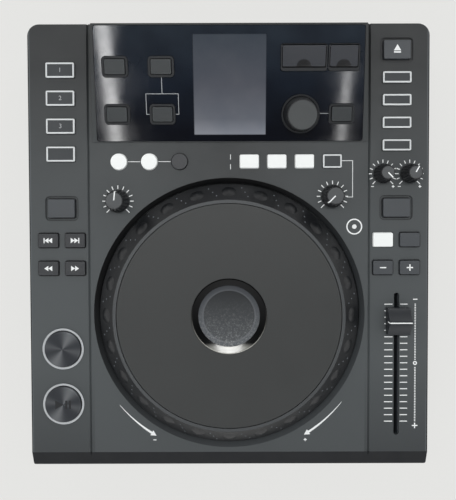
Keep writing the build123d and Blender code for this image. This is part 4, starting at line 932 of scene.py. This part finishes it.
lamp_place = (97.5, 175.5)
light_profile = [(14.45, 0.02), (14.45, 0.45), (14.6, 0.57), (16.0, 0.57), (16.25, 0.4), (16.35, 0.02)]
for key, v in (("cue", cue_v), ("play", play_v)):
    ring_piece(key + "_light_ring", light_profile, 96, at(deck_frame, left_column, v), ring_silver)
on_wheel = at(deck_frame, *wheel_place)
ring_piece("wheel_top_ring", band(85.85, 88.25, 13.28, 13.35), 192, on_wheel, ring_plastic, "jog_wheel")
chamfer = [(105.75, 0.01), (102.15, -3.05), (102.15, -2.95), (105.6, 0.06)]
ring_piece("well_band", chamfer, 192, on_wheel, well_plastic)
bm = bmesh.new()
spun(bm, band(5.2, 6.2, 0.0, 0.05), 64)
disc(bm, 0, 0, 1.75, 0.0, 0.35)
new_piece("lamp_ring", bm, at(deck_frame, *lamp_place), print_white)

# %% [markdown]
# ## Pips on the wheel's rim
# Between every two finger pads the rim carries three small pips. They sit on the slope, which leans outward,
# so their frame is turned to each angle first and then tipped over by the slope.

# %% Rim pips
pad_count = 24
pad_step = 360 / pad_count
slope_out, slope_up = 12.5, 13.0
slope_turn = atan2(slope_up, slope_out)
bm = bmesh.new()
for index in range(pad_count):
    for radius, shift in ((98.1, 1.7), (95.0, 0.0), (91.9, -1.7)):
        level = 0.3 + (100.9 - radius) * slope_up / slope_out
        place = (
            Matrix.Rotation(radians(pad_step * (index + 0.5) + shift), 4, "Z")
            @ Matrix.Translation((radius, 0, level))
            @ Matrix.Rotation(slope_turn, 4, "Y")
            @ Matrix.Diagonal((1.0, 1.0, 0.4, 1.0))
        )
        bmesh.ops.create_icosphere(bm, subdivisions=2, radius=0.55, matrix=place)
new_piece("rim_pips", bm, on_wheel, pip_grey, "jog_wheel", smooth=True)
print("pips:", pad_count * 3)

# %% [markdown]
# ## Prints on the deck
# Ticks round the knobs, the pitch scale, and a few thin lines that tie keys together. The printed words of
# such players are left off, so the lines and the ticks carry the layout.

# %% Knob ticks
print_low = -0.02
print_high = 0.04
jog_tension, effect_level = (-86.3, 195.8), (80.5, 199.1)
start_time, stop_time = (119.6, 216.5), (140.4, 216.5)
tick_count = 13


def dash(bm, u, v, width, depth, turn=0.0):
    """A small printed box."""
    slab(bm, u, v, width, depth, print_low, print_high, turn)


def tick_ring(bm, u, v, inner, outer, width):
    """Thirteen ticks from lower left to lower right, of which the first and the last are longer."""
    middle = (inner + outer) / 2
    for index in range(tick_count):
        angle = radians(225 - 22.5 * index)
        length = outer - inner + (0.8 if index in (0, tick_count - 1) else 0.0)
        dash(bm, u + middle * cos(angle), v + middle * sin(angle), length, width, degrees(angle))


def signs(bm, minus_u, plus_u, v, reach, width):
    """A printed minus and a printed plus in one row."""
    dash(bm, minus_u, v, reach, width)
    dash(bm, plus_u, v, reach, width)
    dash(bm, plus_u, v, width, reach)


bm = bmesh.new()
for u, v in (jog_tension, effect_level):
    tick_ring(bm, u, v, 9.4, 12.2, 0.7)
for u, v in (start_time, stop_time):
    tick_ring(bm, u, v, 8.5, 10.9, 0.65)
    signs(bm, u - 8.0, u + 8.0, v - 9.9, 2.2, 0.6)
new_piece("knob_ticks", bm, deck_frame, print_white)
print("ticks round each knob:", tick_count)

# %% [markdown]
# Thin printed lines join keys that belong together. Each is a stroke between two ends, first those on the
# deck and then those on the display block.

# %% Lines that tie keys together
line = 0.45
deck_line_ends = (
    ((-78.2, 226.3), (-68.7, 226.3)),
    ((-54.6, 226.3), (-45.1, 226.3)),
    ((1.3, 231.8), (1.3, 227.8)),
    ((1.3, 224.2), (1.3, 220.2)),
    ((87.6, 226.7), (96.35, 226.7)),
    ((96.1, 226.7), (96.1, 198.5)),
    ((96.35, 198.5), (91.5, 198.5)),
)
panel_line_ends = (
    ((-51.1, 49.3), (-51.1, 36.3)),
    ((-63.65, 36.3), (-38.55, 36.3)),
    ((-63.4, 36.3), (-63.4, 21.1)),
    ((-38.8, 36.3), (-38.8, 21.1)),
    ((-63.65, 21.1), (-61.0, 21.1)),
    ((-38.55, 21.1), (-41.2, 21.1)),
    ((69.1, 21.5), (76.9, 21.5)),
)
for name, board, ends, material in (
    ("deck_lines", deck_frame, deck_line_ends, print_white),
    ("panel_lines", panel_frame, panel_line_ends, print_grey),
):
    bm = bmesh.new()
    for start, end in ends:
        stroke(bm, start, end, line, print_low, print_high)
    new_piece(name, bm, board, material)

# %% [markdown]
# ## Painted shade round the keys
# The plain keys sit in close holes, and a fine dark line of painted shade marks the gap round each; the
# pocketed keys have a second line of painted shade round the edge of the shallow pocket they lie in.

# %% Painted shade lines round the plain and pocketed keys
def key_line(name, u, v, width, depth, corner, border, level=0.0):
    """A thin dark frame of painted shade round a key, on the deck or on the floor of its pocket."""
    bm = frame_shape(width, depth, corner, border, level, level + 0.03)
    new_piece(name, bm, at(deck_frame, u, v), painted_gap_shade)


columns = (left_column, right_column)
steps = (-side_step, side_step)
plain_keys = [(column + step, v) for column in columns for step in steps for v in (track_v, search_v)]
for index, (u, v) in enumerate(plain_keys):
    key_line(f"key_line_{index}", u, v, 17.0, 12.5, 1.9, 0.4)
pocket_keys = (
    ("reverse", left_column, pocket_v),
    ("jog_mode", right_column, pocket_v),
    ("eject", right_column, eject_v),
)
for name, u, v in pocket_keys:
    key_line(name + "_pocket_line", u, v, 25.7, 19.2, 3.5, 0.4)
    key_line(name + "_key_line", u, v, 22.7, 16.2, 2.4, 0.6, level=-1.0)

# %% [markdown]
# ## Pitch scale and wheel arrows
# The fader has nineteen pairs of ticks and a dotted scale that runs from minus to plus, with an open circle
# at its middle. Two curved arrows beside the wheel grow from thin to thick and end in arrowheads.

# %% Pitch scale
scale_top = 114.8
scale_u, circle_v = 145.3, 68.5
pair_count, dot_count = 19, 73
bm = bmesh.new()
for index in range(pair_count):
    v = scale_top - index * 5.122
    dash(bm, 124.4, v, 6.5, 0.7)
    dash(bm, 136.4, v, 5.8, 0.7)
for index in range(dot_count):
    v = scale_top - index * 1.278
    if abs(v - circle_v) > 2.4:
        dash(bm, scale_u, v, 1.1, 0.7)
spun(bm, band(0.75, 1.6, print_low, print_high), 40, u=scale_u, v=circle_v)
dash(bm, scale_u, 118.6, 3.4, 0.8)
dash(bm, scale_u, 19.1, 4.4, 0.9)
dash(bm, scale_u, 19.1, 0.9, 4.4)
new_piece("pitch_scale", bm, deck_frame, print_white)
print("pairs of pitch ticks:", pair_count)


# %% [markdown]
# An arrow starts as a spun strip of even width, and its corners are then moved in and out along the radius.
# That keeps the curve exact, where a hand-drawn outline would not.


# %% Wheel arrows
def swoosh(name, start, end, arc_radius=112.3):
    """An arc outside the wheel that widens from start to end, with an arrowhead at its end."""
    sweep = end - start
    bm = bmesh.new()
    spun(bm, band(arc_radius - 0.8, arc_radius + 0.2, print_low, print_high), 40, start, sweep)
    for vert in bm.verts:
        angle = degrees(atan2(vert.co.y, vert.co.x)) % 360
        share = max(0.0, min(1.0, (angle - start) / sweep))
        radius = vert.co.xy.length
        half = 0.12 + 0.75 * share
        wanted = arc_radius + (half if radius > arc_radius - 0.3 else -half)
        vert.co.x *= wanted / radius
        vert.co.y *= wanted / radius
    tip = end + (2.2 if sweep > 0 else -2.2)
    corners = []
    for radius, angle in ((arc_radius + 2.3, end), (arc_radius - 2.3, end), (arc_radius, tip)):
        corners.append((radius * cos(radians(angle)), radius * sin(radians(angle))))
    plate_shape(bm, corners, print_low, print_high)
    new_piece(name, bm, on_wheel, print_white)


swoosh("arrow_left", 220.0, 237.0)
swoosh("arrow_right", 321.5, 303.5)
bm = bmesh.new()
signs(bm, -58.8, 59.3, 8.2, 2.4, 0.7)
new_piece("arrow_signs", bm, deck_frame, print_white)

# %% [markdown]
# ## Pointers
# Each knob has a white line on its top, and the fader cap has one across its ridge, so that we can read how
# far each one is turned or moved.


# %% Knob tops, pointer lines and side ridges
def dress_knob(knob, u, v, clockwise, base, top, height):
    """A paler top, a line on it, and a white ridge that carries the line down the side."""
    place = at(deck_frame, u, v, turn=-clockwise)
    bm = bmesh.new()
    disc(bm, 0, 0, top - 0.45, height - 0.02, height + 0.03, 48)
    new_piece(knob + "_top", bm, place, knob_top_plastic, knob)
    bm = bmesh.new()
    stroke(bm, (0, 0.2), (0, top - 0.1), 0.95, height, height + 0.1)
    lean = (0.94 * base - top) / (0.88 * height)
    length = 0.3 * height
    ridge = (
        Matrix.Translation((0, top + lean * length / 2 + 0.1, height - length / 2))
        @ Matrix.Rotation(lean, 4, "X")
        @ Matrix.Diagonal((0.95, 0.5, length, 1.0))
    )
    bmesh.ops.create_cube(bm, size=1.0, matrix=ridge)
    new_piece(knob + "_line", bm, place, print_white, knob)


dress_knob("jog_tension_knob", *jog_tension, 5, 8.8, 6.45, 14.5)
dress_knob("effect_level_knob", *effect_level, -135, 8.8, 6.45, 14.5)
dress_knob("start_time_knob", *start_time, 135, 7.4, 4.95, 15.0)
dress_knob("stop_time_knob", *stop_time, 30, 7.4, 4.95, 15.0)

# %% [markdown]
# The menu knob turns without end, so it has no line. Its grip is one bar repeated round a circle, each copy
# leaning inward with the tapered side.

# %% Menu knob: paler top and a ring of grip ribs
rib_count = 44
rib_lean = 1.6 / 13.0
on_select = at(panel_frame, *select_place)
bm = bmesh.new()
disc(bm, 0, 0, 10.5, 14.38, 14.44, 64)
new_piece("select_top", bm, on_select, select_top_plastic, "select_knob")
bm = bmesh.new()
for index in range(rib_count):
    rib = (
        Matrix.Rotation(radians(index * 360 / rib_count), 4, "Z")
        @ Matrix.Translation((12.15, 0, 7.6))
        @ Matrix.Rotation(-rib_lean, 4, "Y")
        @ Matrix.Diagonal((0.5, 0.55, 11.6, 1.0))
    )
    bmesh.ops.create_cube(bm, size=1.0, matrix=rib)
new_piece("select_ribs", bm, on_select, knob_plastic, "select_knob")
print("menu knob ribs:", rib_count)

# %% [markdown]
# The fader's line runs across the ridge of its cap and a little way down both ends, so that it can be read
# from the side too.

# %% Fader cap line
cap_place = (130.7, 102.4)
bm = bmesh.new()
slab(bm, 0, 0, 16.8, 0.9, 12.9, 13.08)
for u in (-8.62, 8.62):
    slab(bm, u, 0, 0.1, 0.9, 7.5, 13.0)
new_piece("fader_line", bm, at(deck_frame, *cap_place), print_white, "pitch_fader_cap")

# %% [markdown]
# ## Round the back
# The jacks get nickel sleeves, which plugs touch, and coloured washers that tell the three of them apart.

# %% Connector trims
jacks = (
    ("line_right", 28.0, "red", (150, 24, 26)),
    ("line_left", 48.0, "white", (214, 212, 204)),
    ("digital", 76.0, "orange", (196, 98, 20)),
)
for name, u, dye, colour in jacks:
    jack = at(rear_frame, u, 0)
    washer = finish("washer_" + dye, colour, 0.4)
    ring_piece(name + "_sleeve", band(4.14, 4.32, 0.3, 7.9), 48, jack, nickel)
    ring_piece(name + "_washer", band(4.5, 6.0, 0.0, 0.3), 48, jack, washer)
print("jacks dressed:", len(jacks))
